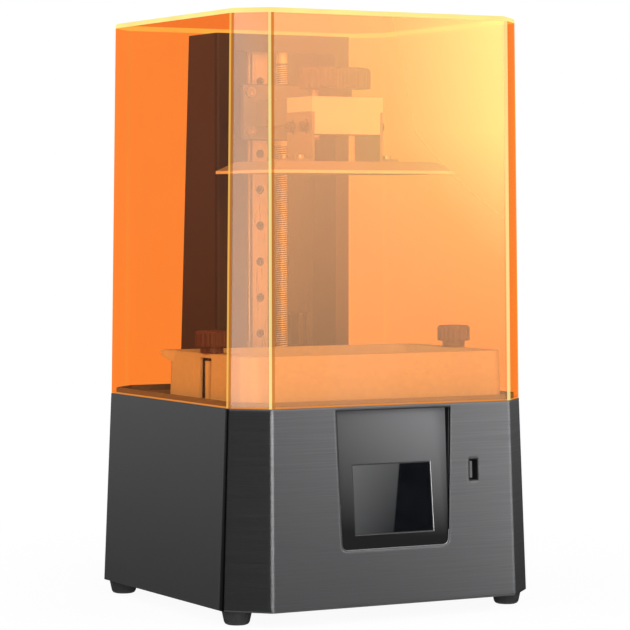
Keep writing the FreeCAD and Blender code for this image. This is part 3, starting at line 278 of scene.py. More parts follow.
def brushed_panel():
    # The edge that is rolled back on to the sides is painted near black with weak gloss: painted shade, a
    # shadow line beside the paint.
    material, tree, shader = start_finish("brushed_panel")
    scratch = grain(tree, SCRATCH, SCRATCH_DETAIL)
    unshaded_share = facing_share(tree, "X", *ROLLED_EDGE_SHADE)
    tone = multiply(tree, spread(tree, scratch, 0.75, 1.0, 0.25, 0.75), unshaded_share)
    colour = two_tones(tree, tone, *map(grey, PANEL_TONES_AND_SHADE), 0.0, 1.0)
    tree.links.new(colour, shader.inputs["Base Color"])
    tree.links.new(spread(tree, scratch, 0.36, 0.28), shader.inputs["Roughness"])
    shader.inputs["Metallic"].default_value = 0.96
    tree.links.new(between(tree, unshaded_share, 0.05, 0.5), shader.inputs["Specular IOR Level"])
    add_relief(tree, shader, scratch, 0.06, PANEL_ROUND)
    return material


def bezel_painted_light():
    # Painted light and shade: the lacquer is painted from dark at the foot and left to grey at the top
    # right, where more light falls, and the rim faces of the recess are painted black as shade.
    material, tree, shader = start_finish("bezel_painted_light")
    low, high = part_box("display_bezel")
    rise = axis_share(tree, "Z", low[2], high[2])
    across = between(tree, axis_share(tree, "X", low[0], high[0]), *BEZEL_LIGHT_ACROSS)
    tone = multiply(tree, multiply(tree, rise, facing_share(tree, "Y", *BEZEL_RIM_SHADE)), across)
    colour = two_tones(tree, tone, *map(grey, BEZEL_SHADE_TONES), 0.1, 1.0)
    tree.links.new(colour, shader.inputs["Base Color"])
    peel = grain(tree, PAINT_PEEL)
    tree.links.new(spread(tree, peel, 0.38, 0.46), shader.inputs["Roughness"])
    shader.inputs["Specular IOR Level"].default_value = 0.08
    add_relief(tree, shader, peel, 0.03)
    return material


finishes = {
    "brushed_case": brushed_panel(),
    "painted_case": grained("case_paint", grey(0.016), grey(0.022), PAINT_PEEL, (0.28, 0.34), 0.03),
    "bezel_metal": bezel_painted_light(),
    "rubber": grained("foot_rubber", grey(0.012), grey(0.022), RUBBER_GRAIN, (0.55, 0.7), 0.2),
}
print("case finishes", len(finishes))

# %% [markdown]
# ## Bare metals, dark fittings and the vat
# Under the hood are milled aluminium, ground steel, a turned brass screw, black screws and a cast vat.
# Bare metals get a brushing along the direction in which each was worked. Each line gives two tones,
# the grain, the range of roughness, the depth of the relief, how metallic it is and how round its edges.

# %% Inner finishes
MILLED = (60.0, 900.0, 60.0)
GROUND = (500.0, 500.0, 30.0)
CAST = (260.0, 260.0, 260.0)
FINE = (1500.0, 1500.0, 1500.0)
SMALL_EDGE = 0.0004
VAT_EDGE = 0.0012
KNOB_EDGE = 0.0005
SCREW_EDGE = 0.0002
PLASTIC_EDGE = 0.0003
BRASS = ((0.90, 0.78, 0.42), (0.98, 0.88, 0.52))
COLUMN_BLACK = ((0.014, 0.009, 0.008), (0.022, 0.015, 0.013))
VAT_CREAM = ((0.50, 0.47, 0.40), (0.56, 0.53, 0.46))
KNOB_BROWN = ((0.060, 0.024, 0.018), (0.085, 0.036, 0.028))
BOARD_GREEN = ((0.01, 0.09, 0.04), (0.015, 0.13, 0.06))
LED_VIOLET = ((0.7, 0.68, 0.8), (0.8, 0.78, 0.88))


def greys(low, high):
    return grey(low), grey(high)


inner_finishes = {
    "aluminium": ("milled_aluminium", *greys(0.82, 0.90), MILLED, (0.34, 0.42), 0.06, 0.55, SMALL_EDGE),
    "bracket_steel": ("folded_steel", *greys(0.26, 0.34), MILLED, (0.3, 0.42), 0.06, 0.7, SMALL_EDGE),
    "socket_steel": ("ground_steel", *greys(0.48, 0.6), GROUND, (0.25, 0.36), 0.06, 1.0, SMALL_EDGE),
    "screw_brass": ("turned_brass", *BRASS, FINE, (0.3, 0.4), 0.04, 0.35),
    "column_paint": ("column_paint", *COLUMN_BLACK, PAINT_PEEL, (0.4, 0.5), 0.05, 0.0, SMALL_EDGE),
    "vat_plastic": ("cast_vat", *VAT_CREAM, CAST, (0.42, 0.52), 0.08, 0.0, VAT_EDGE),
    "knob_plastic": ("knob_plastic", *KNOB_BROWN, FINE, (0.38, 0.5), 0.08, 0.0, KNOB_EDGE),
    "dark_screw": ("black_oxide", *greys(0.022, 0.04), FINE, (0.32, 0.44), 0.05, 0.6, SCREW_EDGE),
    "black_plastic": ("moulded_plastic", *greys(0.014, 0.022), FINE, (0.4, 0.55), 0.08, 0.0, PLASTIC_EDGE),
    "motor_paint": ("motor_paint", *greys(0.02, 0.03), PAINT_PEEL, (0.4, 0.5), 0.05),
    "reflector": ("bright_sheet", *greys(0.7, 0.78), MILLED, (0.15, 0.25), 0.04, 0.9),
    "circuit_board": ("board_lacquer", *BOARD_GREEN, FINE, (0.3, 0.4), 0.05),
    "led_glass": ("led_dome", *LED_VIOLET, FINE, (0.1, 0.16), 0.02),
    "mask_glass": ("mask_panel", *greys(0.008, 0.014), FINE, (0.06, 0.1), 0.01),
}
for slot_name, look in inner_finishes.items():
    finishes[slot_name] = grained(*look)
print("finishes", len(finishes))

# %% [markdown]
# ## The display glass
# The screen is off: black glass with a smooth clear surface. Only a very faint smear of finger grease
# varies its roughness. What shows on it is the room, by reflection. The lens of the light source and
# the film under the vat are clear sheets with a weak gloss.

# %% Glass finishes
SMEAR = (70.0, 70.0, 140.0)
SMEAR_TONES = ((0.003, 0.0035, 0.0045), (0.005, 0.0055, 0.007))
GLASS_IOR = 1.52
SHEET_GLOSS = 0.18


def display_glass():
    material, tree, shader = start_finish("display_black_glass")
    smear = grain(tree, SMEAR)
    tree.links.new(two_tones(tree, smear, *SMEAR_TONES), shader.inputs["Base Color"])
    tree.links.new(spread(tree, smear, 0.004, 0.012), shader.inputs["Roughness"])
    shader.inputs["IOR"].default_value = GLASS_IOR
    return material


def clear_sheet(name, tint, gloss_rough):
    material, tree, shader = start_finish(name)
    haze = grain(tree, FINE)
    tree.links.new(two_tones(tree, haze, tint, WHITE), shader.inputs["Base Color"])
    shader.inputs["Roughness"].default_value = gloss_rough
    show(tree, mix_shaders(tree, SHEET_GLOSS, transparent(tree, tint), shader.outputs["BSDF"]))
    return material


finishes["display_glass"] = display_glass()
finishes["lens_glass"] = clear_sheet("lens_sheet", (0.9, 0.93, 0.96), 0.1)
finishes["film_clear"] = clear_sheet("release_film", (0.93, 0.94, 0.95), 0.2)
print("finishes", len(finishes))

# %% [markdown]
# ## The orange acrylic of the hood
# The hood stops the violet light that hardens resin. Real tinted acrylic could be a refracting shader,
# but thin flat walls barely bend what is behind them, and straight tinted transparency lets lamps light
# the inside cleanly. The outer face of a wall carries its whole tint. Over it lie a veil, where the pane
# scatters the light that falls on it and adds a weak painted glow of its own, and a mirror that grows at
# shallow angles. The inner face of the front and of its chamfer scatters and glows too: two thin veils
# keep what is behind them sharper than one thick.

# %% Acrylic walls
ACRYLIC_IOR = 1.49
MIRROR_SHARE = 0.12
MIRROR_ROUGH = 0.03
WALL_TINT = (1.0, 0.476, 0.152)
LAMP_TINT = (1.0, 0.92, 0.78)
VEIL_PAINTED_GLOW = 0.35
VEIL_ROUGH = 0.25
PAINTED_HIGHLIGHT_START = 0.35
CLOUD = (30.0, 30.0, 30.0)
CLOUD_TONE = (0.985, 0.985, 0.985)


def up_the_hood(tree):
    low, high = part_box("hood")
    return axis_share(tree, "Z", low[2], high[2])


def outer_mirror(tree):
    # The mirror's share at the face that looks outwards; the far side of a wall adds none.
    fresnel = tree.nodes.new("ShaderNodeFresnel")
    fresnel.inputs["IOR"].default_value = ACRYLIC_IOR
    side = tree.nodes.new("ShaderNodeNewGeometry")
    facing = between(tree, side.outputs["Backfacing"], 1.0, 0.0)
    return multiply(tree, multiply(tree, fresnel.outputs["Fac"], facing), MIRROR_SHARE)


def let_lamps_through(tree, body, tint):
    ray = tree.nodes.new("ShaderNodeLightPath")
    show(tree, mix_shaders(tree, ray.outputs["Is Shadow Ray"], body, transparent(tree, tint)))


def acrylic(name, veil_low, veil_high, veil_share, tone_of, bloom=0.0, tint=WALL_TINT):
    # The veil's share grows up the hood; tone_of gives how its colour goes from the first to the second,
    # and bloom, a painted highlight, is what the share gains where the second colour takes over.
    material, tree, shader = start_finish(name)
    tone = tone_of(tree)
    veil = two_tones(tree, tone, veil_low, veil_high, 0.0, 1.0)
    tree.links.new(veil, shader.inputs["Base Color"])
    # The veil also shines by itself in its own colour: a painted glow.
    tree.links.new(veil, shader.inputs["Emission Color"])
    shader.inputs["Emission Strength"].default_value = VEIL_PAINTED_GLOW
    shader.inputs["Roughness"].default_value = VEIL_ROUGH
    share = between(tree, up_the_hood(tree), *veil_share)
    if bloom:
        share = calculate(tree, "ADD", share, spread(tree, tone, 0.0, bloom, PAINTED_HIGHLIGHT_START, 1.0))
    body = mix_shaders(tree, share, transparent(tree, tint), shader.outputs["BSDF"])
    gloss = tree.nodes.new("ShaderNodeBsdfGlossy")
    gloss.inputs["Roughness"].default_value = MIRROR_ROUGH
    coated = mix_shaders(tree, outer_mirror(tree), body, gloss.outputs["BSDF"])
    let_lamps_through(tree, coated, LAMP_TINT)
    return material


def acrylic_inside(name, veil_share):
    # The inner face scatters white, which the tint of the outer face turns orange, and adds a weak painted
    # glow of its own.
    material, tree, shader = start_finish(name)
    shader.inputs["Base Color"].default_value = (*WHITE, 1.0)
    shader.inputs["Emission Color"].default_value = (*WHITE, 1.0)
    shader.inputs["Emission Strength"].default_value = VEIL_PAINTED_GLOW
    shader.inputs["Roughness"].default_value = VEIL_ROUGH
    clear = tree.nodes.new("ShaderNodeBsdfTransparent")
    tree.links.new(two_tones(tree, grain(tree, CLOUD), CLOUD_TONE, WHITE), clear.inputs["Color"])
    share = between(tree, up_the_hood(tree), *veil_share)
    body = mix_shaders(tree, share, clear.outputs["BSDF"], shader.outputs["BSDF"])
    let_lamps_through(tree, body, WHITE)
    return material


print("wall tint", WALL_TINT)

# %% [markdown]
# ## The panes and the glowing edges
# Light that runs inside a tinted sheet leaves at its edges, so a polished edge shines yellow. The edge
# finish is therefore a weak lamp over the tint: a painted glow that shines the same whatever the lamps,
# faint on the back corners and amber beside the left side. The panes differ: the front is peach with a
# painted golden highlight at the upper right, the left chamfer has a misty painted reflection, and the
# sides and top are clear orange.

# %% Panes and edges
HOOD_FOOT_CHAMFER = 0.0209
TOP_TINT = (0.93, 0.38, 0.10)
ORANGE_VEIL = (1.0, 0.24, 0.08)
PEACH_VEIL = (1.0, 0.58, 0.34)
# The gold is a painted highlight at the upper right of the front pane.
GOLD_PAINTED_HIGHLIGHT = (1.0, 0.98, 0.32)
# Mist and skin: the painted reflection on the left chamfer.
MIST_PAINTED_REFLECTION = (0.80, 0.72, 0.66)
SKIN_PAINTED_REFLECTION = (0.95, 0.66, 0.48)
THIN_VEIL = (0.012, 0.016)
NO_VEIL = (0.0, 0.0)
FRONT_PAINTED_HIGHLIGHT = 0.18
RIPPLE = (40.0, 40.0, 8.0)
RIPPLE_GAIN = 1.12


def up_and_across(tree):
    # A painted highlight: strongest at the upper right, where the front pane faces the key lamp.
    low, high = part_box("hood")
    across = axis_share(tree, "X", low[0], high[0])
    rise = spread(tree, up_the_hood(tree), 0.25, 1.0, 0.1, 0.7)
    return spread(tree, multiply(tree, across, rise), 0.0, 1.0, 0.25, 0.95)


# Across the left chamfer, where its painted reflection goes from mist to skin colour.
def over_chamfer(tree):
    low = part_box("hood")[0]
    return axis_share(tree, "X", low[0], low[0] + HOOD_FOOT_CHAMFER)


def acrylic_edge(name, glow, strength, share):
    material, tree, shader = start_finish(name)
    tree.nodes.remove(shader)
    lamp = tree.nodes.new("ShaderNodeEmission")
    pale = tuple(min(1.0, c * RIPPLE_GAIN) for c in glow)
    tree.links.new(two_tones(tree, grain(tree, RIPPLE), glow, pale), lamp.inputs["Color"])
    lamp.inputs["Strength"].default_value = strength
    show(tree, mix_shaders(tree, share, transparent(tree, WALL_TINT), lamp.outputs["Emission"]))
    return material


acrylics = [
    acrylic("acrylic_side", ORANGE_VEIL, ORANGE_VEIL, THIN_VEIL, up_the_hood),
    acrylic_edge("acrylic_rim_glow", (1.0, 0.88, 0.30), 1.0, 0.9),
    acrylic("acrylic_front", PEACH_VEIL, GOLD_PAINTED_HIGHLIGHT, (0.10, 0.22), up_and_across, FRONT_PAINTED_HIGHLIGHT),
    acrylic("acrylic_chamfer", MIST_PAINTED_REFLECTION, SKIN_PAINTED_REFLECTION, (0.15, 0.16), over_chamfer),
    acrylic_edge("acrylic_corner_glow", (1.0, 0.76, 0.30), 1.0, 0.85),
    acrylic_edge("acrylic_corner_shade", (0.75, 0.26, 0.05), 0.8, 0.7),
    acrylic_edge("acrylic_foot_glow", (1.0, 0.32, 0.06), 0.9, 0.75),
    acrylic_edge("acrylic_back_corner_glow", (1.0, 0.62, 0.20), 1.0, 0.15),
    acrylic_edge("acrylic_amber_corner_glow", (1.0, 0.52, 0.11), 1.0, 0.8),
    acrylic("acrylic_top", ORANGE_VEIL, ORANGE_VEIL, THIN_VEIL, up_the_hood, tint=TOP_TINT),
    acrylic_inside("acrylic_inside", NO_VEIL),
    acrylic_inside("acrylic_front_inside", (0.06, 0.24)),
    acrylic_inside("acrylic_chamfer_inside", (0.16, 0.18)),
]
(
    SIDE, RIM, FRONT, CHAMFER, CORNER, CORNER_SHADE, FOOT, BACK_CORNER, AMBER, TOP,
    INSIDE, FRONT_INSIDE, CHAMFER_INSIDE,
) = range(len(acrylics))
finishes["hood_orange"] = acrylics[SIDE]
print("acrylics", [m.name for m in acrylics])

# %% [markdown]
# ## Dress the imported pieces
# Each node takes the finish of its material slot, so the record and the looks can't drift apart. A few
# pieces then get a finish of their own, such as the build plate: its faces that look up are dark grey
# and its sides light grey.

# %% Assign finishes
PLATE_LEVEL = (0.5, 0.9)
PLATE_TONES = (0.85, 0.26)
PLATE_ROUND = 0.0006


def plate_dark_top():
    material, tree, shader = start_finish("plate_dark_top")
    # Faces that look up are dark grey, the sides light grey.
    level = facing_share(tree, "Z", *PLATE_LEVEL)
    tree.links.new(two_tones(tree, level, *greys(*PLATE_TONES), 0.0, 1.0), shader.inputs["Base Color"])
    dust = grain(tree, FINE)
    tree.links.new(spread(tree, dust, 0.4, 0.5), shader.inputs["Roughness"])
    shader.inputs["Metallic"].default_value = 0.3
    add_relief(tree, shader, dust, 0.08, PLATE_ROUND)
    return material


def dress(node, finish):
    for material_slot in frame["nodes"][node].material_slots:
        material_slot.material = finish


for row in frame["record"]["subparts"]:
    dress(row["node"], finishes[row["material_slot"]])

black_anodised = grained(
    "black_anodised", *greys(0.022, 0.032), GROUND, (0.35, 0.45), 0.05, 0.0, SMALL_EDGE
)
own_finish = {
    "usb_shell": grained("socket_black", *greys(0.006, 0.010), FINE, (0.6, 0.7), 0.03),
    "usb_tongue": grained("tongue_plastic", *greys(0.07, 0.10), FINE, (0.4, 0.5), 0.04),
    "z_arm": grained("grey_anodised", *greys(0.16, 0.21), MILLED, (0.34, 0.44), 0.05, 0.2, SMALL_EDGE),
    "deck_plate": grained("deck_satin", *greys(0.20, 0.25), PAINT_PEEL, (0.36, 0.46), 0.04, 0.3),
    "build_plate": plate_dark_top(),
    "column_spine": black_anodised,
    "carriage_plate": black_anodised,
    "vat_seats": finishes["vat_plastic"],
    "arm_screws": finishes["socket_steel"],
    "bracket_screws": finishes["socket_steel"],
}
for node, finish in own_finish.items():
    dress(node, finish)

# %% [markdown]
# ## Making new pieces
# A new piece starts as a bmesh, is shaped by operators, and ends as an object at the origin that rides
# on one of the bodies. These helpers do the first and the last step for all of them.

# %% Piece helpers
SAME_PLACE = 1e-6


def closed_ring(shape, points):
    verts = [shape.verts.new(point) for point in points]
    edges = [shape.edges.new((verts[i], verts[(i + 1) % len(verts)])) for i in range(len(verts))]
    return verts, edges


def raise_ring(shape, edges):
    raised = bmesh.ops.extrude_edge_only(shape, edges=edges)["geom"]
    return [v for v in raised if isinstance(v, bmesh.types.BMVert)]


def edges_among(shape, verts):
    return [e for e in shape.edges if all(v in verts for v in e.verts)]


def object_from(name, shape, materials):
    mesh = bpy.data.meshes.new(name)
    shape.to_mesh(mesh)
    shape.free()
    for material in materials:
        mesh.materials.append(material)
    made = bpy.data.objects.new(name, mesh)
    scene.collection.objects.link(made)
    return made


def finish_piece(name, shape, body, materials, replaced=(), smooth_angle=None):
    bmesh.ops.recalc_face_normals(shape, faces=shape.faces[:])
    piece = object_from(name, shape, materials)
    if smooth_angle is not None:
        for polygon in piece.data.polygons:
            polygon.use_smooth = True
        piece.data.set_sharp_from_angle(angle=math.radians(smooth_angle))
    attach(piece, body)
    if replaced:
        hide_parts(*replaced)
    print(name, len(piece.data.polygons), "faces")


print("piece helpers ready")

# %% [markdown]
# ## The hood
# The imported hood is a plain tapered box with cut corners. The real one has polished edges that catch the
# light, and the edge of its top sheet is a bright band all round. So the hood is built again: one ring of
# eight points is extruded up and drawn in, the top is closed, bands are cut at the foot and the top, every
# corner is bevelled, and the skin is given its thickness. Each face notes which pane or edge it is part of.

# %% Hood
HOOD_TOP_W = 0.2134
HOOD_TOP_CHAMFER = 0.0188
HOOD_WALL = 0.003
HOOD_BAND = 0.0032
FOOT_BAND = 0.0011
CORNER_BEVEL = 0.002
CORNER_ANGLE = 0.5
HALF_TURNED = 0.5
FULL_FRONT = 0.9
# Shares of the normal that pick out the strips of the bevelled left front corners.
FRONT_STRIP = (-0.3, -0.1)
SIDE_STRIP = (-0.7, -0.4)
LEFT_TURNED = -0.7


def cut_corner_square(width, chamfer, height):
    half = width / 2
    flat = half - chamfer
    plan = [(-flat, -half), (flat, -half), (half, -flat), (half, flat)]
    plan += [(flat, half), (-flat, half), (-half, flat), (-half, -flat)]
    return [Vector((x, y, height)) for x, y in plan]


def pane_of(normal):
    if normal.z > HALF_TURNED:
        return TOP
    if normal.y < -FULL_FRONT:
        return FRONT
    if normal.y < -HALF_TURNED and normal.x < -HALF_TURNED:
        return CHAMFER
    return SIDE


def inside_of(face):
    middle = face.calc_center_median()
    outward = face.normal if face.normal.dot(Vector((middle.x, middle.y, 0.0))) > 0 else -face.normal
    if abs(outward.z) > HALF_TURNED:
        return INSIDE
    return {FRONT: FRONT_INSIDE, CHAMFER: CHAMFER_INSIDE}.get(pane_of(outward), INSIDE)


def in_shade(normal):
    # On the two left front corners, the strip that turns away from the light is painted dark, as shade.
    beside_front = FRONT_STRIP[0] < normal.x < FRONT_STRIP[1] and normal.y < -FULL_FRONT
    beside_side = normal.x < LEFT_TURNED and SIDE_STRIP[0] < normal.y < SIDE_STRIP[1]
    return beside_front or beside_side


# Each corner face takes a painted glow: the rim, the dark strip in shade, a faint back corner, amber beside
# the left side, or yellow.
def corner_of(face, rim_from):
    middle = face.calc_center_median()
    if middle.z > rim_from:
        return RIM
    if in_shade(face.normal):
        return CORNER_SHADE
    if middle.y > 0:
        return BACK_CORNER
    return AMBER if face.normal.x < LEFT_TURNED else CORNER


def build_hood():
    low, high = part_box("hood")
    foot_to = low[2] + FOOT_BAND
    rim_from = high[2] - HOOD_BAND
    shape = bmesh.new()
    foot, ring = closed_ring(shape, cut_corner_square(high[0] - low[0], HOOD_FOOT_CHAMFER, low[2]))
    top = raise_ring(shape, ring)
    goal = cut_corner_square(HOOD_TOP_W, HOOD_TOP_CHAMFER, high[2])
    for vert in top:
        at = min(range(len(foot)), key=lambda i: (foot[i].co - vert.co).length)
        vert.co = goal[at]
    bmesh.ops.contextual_create(shape, geom=edges_among(shape, top))
    bmesh.ops.recalc_face_normals(shape, faces=shape.faces[:])
    for level in (foot_to, rim_from):
        everything = shape.verts[:] + shape.edges[:] + shape.faces[:]
        bmesh.ops.bisect_plane(
            shape, geom=everything, dist=SAME_PLACE, plane_co=(0, 0, level), plane_no=(0, 0, 1)
        )
    for face in shape.faces:
        middle = face.calc_center_median().z
        face.material_index = pane_of(face.normal)
        if middle < foot_to:
            face.material_index = FOOT
        elif abs(face.normal.z) < HALF_TURNED and middle > rim_from:
            face.material_index = RIM
    corners = [e for e in shape.edges if len(e.link_faces) == 2 and e.calc_face_angle() > CORNER_ANGLE]
    bmesh.ops.bevel(
        shape, geom=corners, offset=CORNER_BEVEL, offset_type="OFFSET", segments=2, profile=0.5,
        affect="EDGES", material=CORNER, clamp_overlap=True,
    )
    for face in shape.faces:
        if face.material_index == CORNER:
            face.material_index = corner_of(face, rim_from)
    outer = set(shape.faces)
    bmesh.ops.solidify(shape, geom=shape.faces[:], thickness=HOOD_WALL)
    for face in shape.faces:
        if face not in outer:
            face.material_index = inside_of(face)
    return shape


finish_piece("hood_shell", build_hood(), "hood", acrylics, ["hood"])

# %% [markdown]
# ## The lead screw
# The imported screw has rings in place of a thread. A real thread climbs, so the ridge's closed outline is
# spun round the axis while it rises by one pitch a turn, over a plain core that is dark brown in its roots:
# grease, with painted shade where the roots lie deep. The two ends of the screw are plain.

# %% Lead screw
THREAD_PITCH = 0.0015
THREAD_DEPTH = 0.0008
CREST_HALF = 0.00025
RIDGE_FOOT_HALF = 0.0005
RIDGE_SUNK = 0.0002
STEPS_A_TURN = 20
ROD_SIDES = 32
PLAIN_FOOT = 0.009
PLAIN_TOP = 0.016
SCREW_SMOOTH = 50
GREASE_AND_SHADE = 1


def add_rod(shape, axis_at, radius, z0, z1):
    place = Matrix.Translation(axis_at + Vector((0, 0, (z0 + z1) / 2)))
    bmesh.ops.create_cone(
        shape, cap_ends=True, segments=ROD_SIDES, radius1=radius, radius2=radius, depth=z1 - z0,
        matrix=place,
    )


def build_lead_screw():
    low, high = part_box("lead_screw")
    radius = (high[0] - low[0]) / 2
    core_radius = radius - THREAD_DEPTH
    axis_at = Vector(((low[0] + high[0]) / 2, (low[1] + high[1]) / 2, 0.0))
    start = low[2] + PLAIN_FOOT
    end = high[2] - PLAIN_TOP
    shape = bmesh.new()
    add_rod(shape, axis_at, core_radius, low[2] + PLAIN_FOOT / 2, high[2] - PLAIN_TOP / 2)
    for face in shape.faces:
        face.material_index = GREASE_AND_SHADE
    add_rod(shape, axis_at, radius, low[2], start)
    add_rod(shape, axis_at, radius, end, high[2])
    turns = int((end - start) / THREAD_PITCH)
    inner = core_radius - RIDGE_SUNK
    outline = [(inner, -RIDGE_FOOT_HALF), (radius, -CREST_HALF)]
    outline += [(radius, CREST_HALF), (inner, RIDGE_FOOT_HALF)]
    verts, edges = closed_ring(shape, [axis_at + Vector((r, 0, start + z)) for r, z in outline])
    bmesh.ops.spin(
        shape, geom=verts + edges, cent=axis_at, axis=(0, 0, 1), dvec=(0, 0, THREAD_PITCH / STEPS_A_TURN),
        angle=turns * 2 * math.pi, steps=turns * STEPS_A_TURN, use_merge=False,
    )
    bmesh.ops.holes_fill(shape, edges=[e for e in shape.edges if e.is_boundary], sides=len(outline))
    return shape


# Dark brown in the roots of the thread: grease, and painted shade in the deep roots.
grease_and_shade_root = grained("grease_and_shade_root", (0.05, 0.03, 0.012), (0.08, 0.05, 0.02), FINE, (0.3, 0.4), 0.04, 0.6)
screw_finishes = [finishes["screw_brass"], grease_and_shade_root]
finish_piece(
    "lead_screw_thread", build_lead_screw(), "screw", screw_finishes, ["lead_screw"],
    SCREW_SMOOTH,
)

# %% [markdown]
# ## The feet
# Moulded rubber has no sharp corner. Each foot is a profile with a rounded toe and a shallow hollow under
# it, spun about its own axis.

# %% Feet
FOOT_TOP_R = 0.010
FOOT_TOE_R = 0.008
TOE_ROUND = 0.0018
TOE_CUT = 0.3
TOE_FLARE = 0.0003
HOLLOW_DEPTH = 0.001
HOLLOW_R = (0.0046, 0.0050)
SPIN_STEPS = 40
FOOT_SMOOTH = 35


def build_feet():
    low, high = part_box("feet")
    floor_z = low[2]
    shape = bmesh.new()
    profile = [
        (0.0, floor_z + HOLLOW_DEPTH),
        (HOLLOW_R[0], floor_z + HOLLOW_DEPTH),
        (HOLLOW_R[1], floor_z),
        (FOOT_TOE_R - TOE_ROUND, floor_z),
        (FOOT_TOE_R - TOE_ROUND * TOE_CUT, floor_z + TOE_ROUND * TOE_CUT),
        (FOOT_TOE_R + TOE_FLARE, floor_z + TOE_ROUND),
        (FOOT_TOP_R, high[2]),
        (0.0, high[2]),
    ]
    for x in (low[0] + FOOT_TOP_R, high[0] - FOOT_TOP_R):
        for y in (low[1] + FOOT_TOP_R, high[1] - FOOT_TOP_R):
            centre = Vector((x, y, 0.0))
            verts = [shape.verts.new(centre + Vector((r, 0.0, z))) for r, z in profile]
            edges = [shape.edges.new((verts[i], verts[i + 1])) for i in range(len(verts) - 1)]
            bmesh.ops.spin(
                shape, geom=verts + edges, cent=centre, axis=(0, 0, 1), angle=2 * math.pi,
                steps=SPIN_STEPS, use_merge=True,
            )
    bmesh.ops.remove_doubles(shape, verts=shape.verts[:], dist=SAME_PLACE)
    return shape


finish_piece("rubber_feet", build_feet(), "base", [finishes["rubber"]], ["feet"], FOOT_SMOOTH)

# %% [markdown]
# ## The trim round the screen
# The edge of the display window is a narrow polished slope, which draws a thin light line below and to
# the right of the glass; its top and left strips are painted dark as shade. On the glass, a black border
# lies inside it. Both are one closed ring: a loop round the window is extruded from each corner of the
# section to the next, and back to the first. Plane and size come from the faces of the glass that look
# forward.

# %% Window trim
TRIM_W = 0.0007
TRIM_RISE = 0.0003
BORDER_W = 0.0007
BORDER_LIFT = 0.00003
NEAR_EDGE = 0.49
POLISHED, SHADED = 0, 1


def glass_plane():
    glass = frame["nodes"]["display_glass"].data
    front = [p for p in glass.polygons if p.normal.y < -FULL_FRONT]
    corners = [glass.vertices[i].co for p in front for i in p.vertices]
    return front[0].normal.copy(), corners


def build_window_trim():
    normal, corners = glass_plane()
    left = min(c.x for c in corners)
    right_side = max(c.x for c in corners)
    lowest = min(corners, key=lambda c: c.z)
    highest = max(corners, key=lambda c: c.z)
    middle = Vector(((left + right_side) / 2, (lowest.y + highest.y) / 2, (lowest.z + highest.z) / 2))
    slope = Vector((0.0, highest.y - lowest.y, highest.z - lowest.z))
    up, height = slope.normalized(), slope.length
    across, width = Vector((1.0, 0.0, 0.0)), right_side - left

    def corner(i, j, grow, lift):
        return middle + across * i * (width / 2 + grow) + up * j * (height / 2 + grow) + normal * lift

    section = [(-BORDER_W, 0.0), (-BORDER_W, BORDER_LIFT), (0.0, BORDER_LIFT)]
    section += [(TRIM_W, TRIM_RISE), (TRIM_W, 0.0)]
    shape = bmesh.new()
    signs = ((-1, -1), (1, -1), (1, 1), (-1, 1))
    ring = closed_ring(shape, [corner(i, j, *section[0]) for i, j in signs])[1]
    for grow, lift in section[1:] + section[:1]:
        verts = raise_ring(shape, ring)
        for vert in verts:
            off = vert.co - middle
            vert.co = corner(math.copysign(1, off.dot(across)), math.copysign(1, off.dot(up)), grow, lift)
        ring = edges_among(shape, verts)
    bmesh.ops.remove_doubles(shape, verts=shape.verts[:], dist=SAME_PLACE)
    for face in shape.faces:
        off = face.calc_center_median() - middle
        on_glass = abs(off.dot(up)) < height / 2 and abs(off.dot(across)) < width / 2
        # The top and left strips of the slope take the dark finish as painted shade; the border on the
        # glass takes it too.
        turned_away = off.dot(up) > height * NEAR_EDGE or off.dot(across) < -width * NEAR_EDGE
        face.material_index = SHADED if on_glass or turned_away else POLISHED
    return shape


trim_finishes = [
    grained("trim_polish", *greys(0.22, 0.30), FINE, (0.16, 0.24), 0.03, 0.9),
    grained("trim_shade", *greys(0.006, 0.010), FINE, (0.5, 0.6), 0.03),
]
finish_piece("window_trim", build_window_trim(), "base", trim_finishes)

# %% [markdown]
# ## The cut edge of the front panel
# Where the brushed sheet is cut out for the bezel, its edge is broken, and the light grey on it is a
# painted highlight. It shows as a thin light line along the foot of the opening, and a short way up both
# sides. A small three-sided section is carried along that path and closed at both ends.

# %% Opening edge
SEAM_HALF = 0.110
OPENING_H = 0.0904
OPENING_HALF_FOOT = 0.040
OPENING_FLARE = 0.003 / OPENING_H
OPENING_DROP = 0.0926
OPENING_CORNER = 0.004
LEFT_RISE = 0.030
RIGHT_RISE = 0.010
EDGE_W = 0.0004
EDGE_DEPTH = 0.0005
EDGE_LIFT = 0.00003
ARC_STEPS = 6


def corner_arc(x, z, radius, start):
    angles = [start + step * math.pi / 2 / ARC_STEPS for step in range(ARC_STEPS + 1)]
    return [(x + radius * math.cos(angle), z + radius * math.sin(angle)) for angle in angles]


def opening_path(inset):
    radius = OPENING_CORNER - inset
    half = OPENING_HALF_FOOT - inset
    path = [(-(half + OPENING_FLARE * LEFT_RISE), LEFT_RISE)]
    path += corner_arc(-half + radius, inset + radius, radius, math.pi)
    path += corner_arc(half - radius, inset + radius, radius, 1.5 * math.pi)
    path.append((half + OPENING_FLARE * RIGHT_RISE, RIGHT_RISE))
    return path


def on_panel(x, rise, depth):
    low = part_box("base_front_panel")[0]
    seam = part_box("hood")[0][2]
    z = seam - OPENING_DROP + rise
    slope = (-SEAM_HALF - low[1]) / (seam - low[2])
    return Vector((x, low[1] + slope * (z - low[2]) + depth, z))


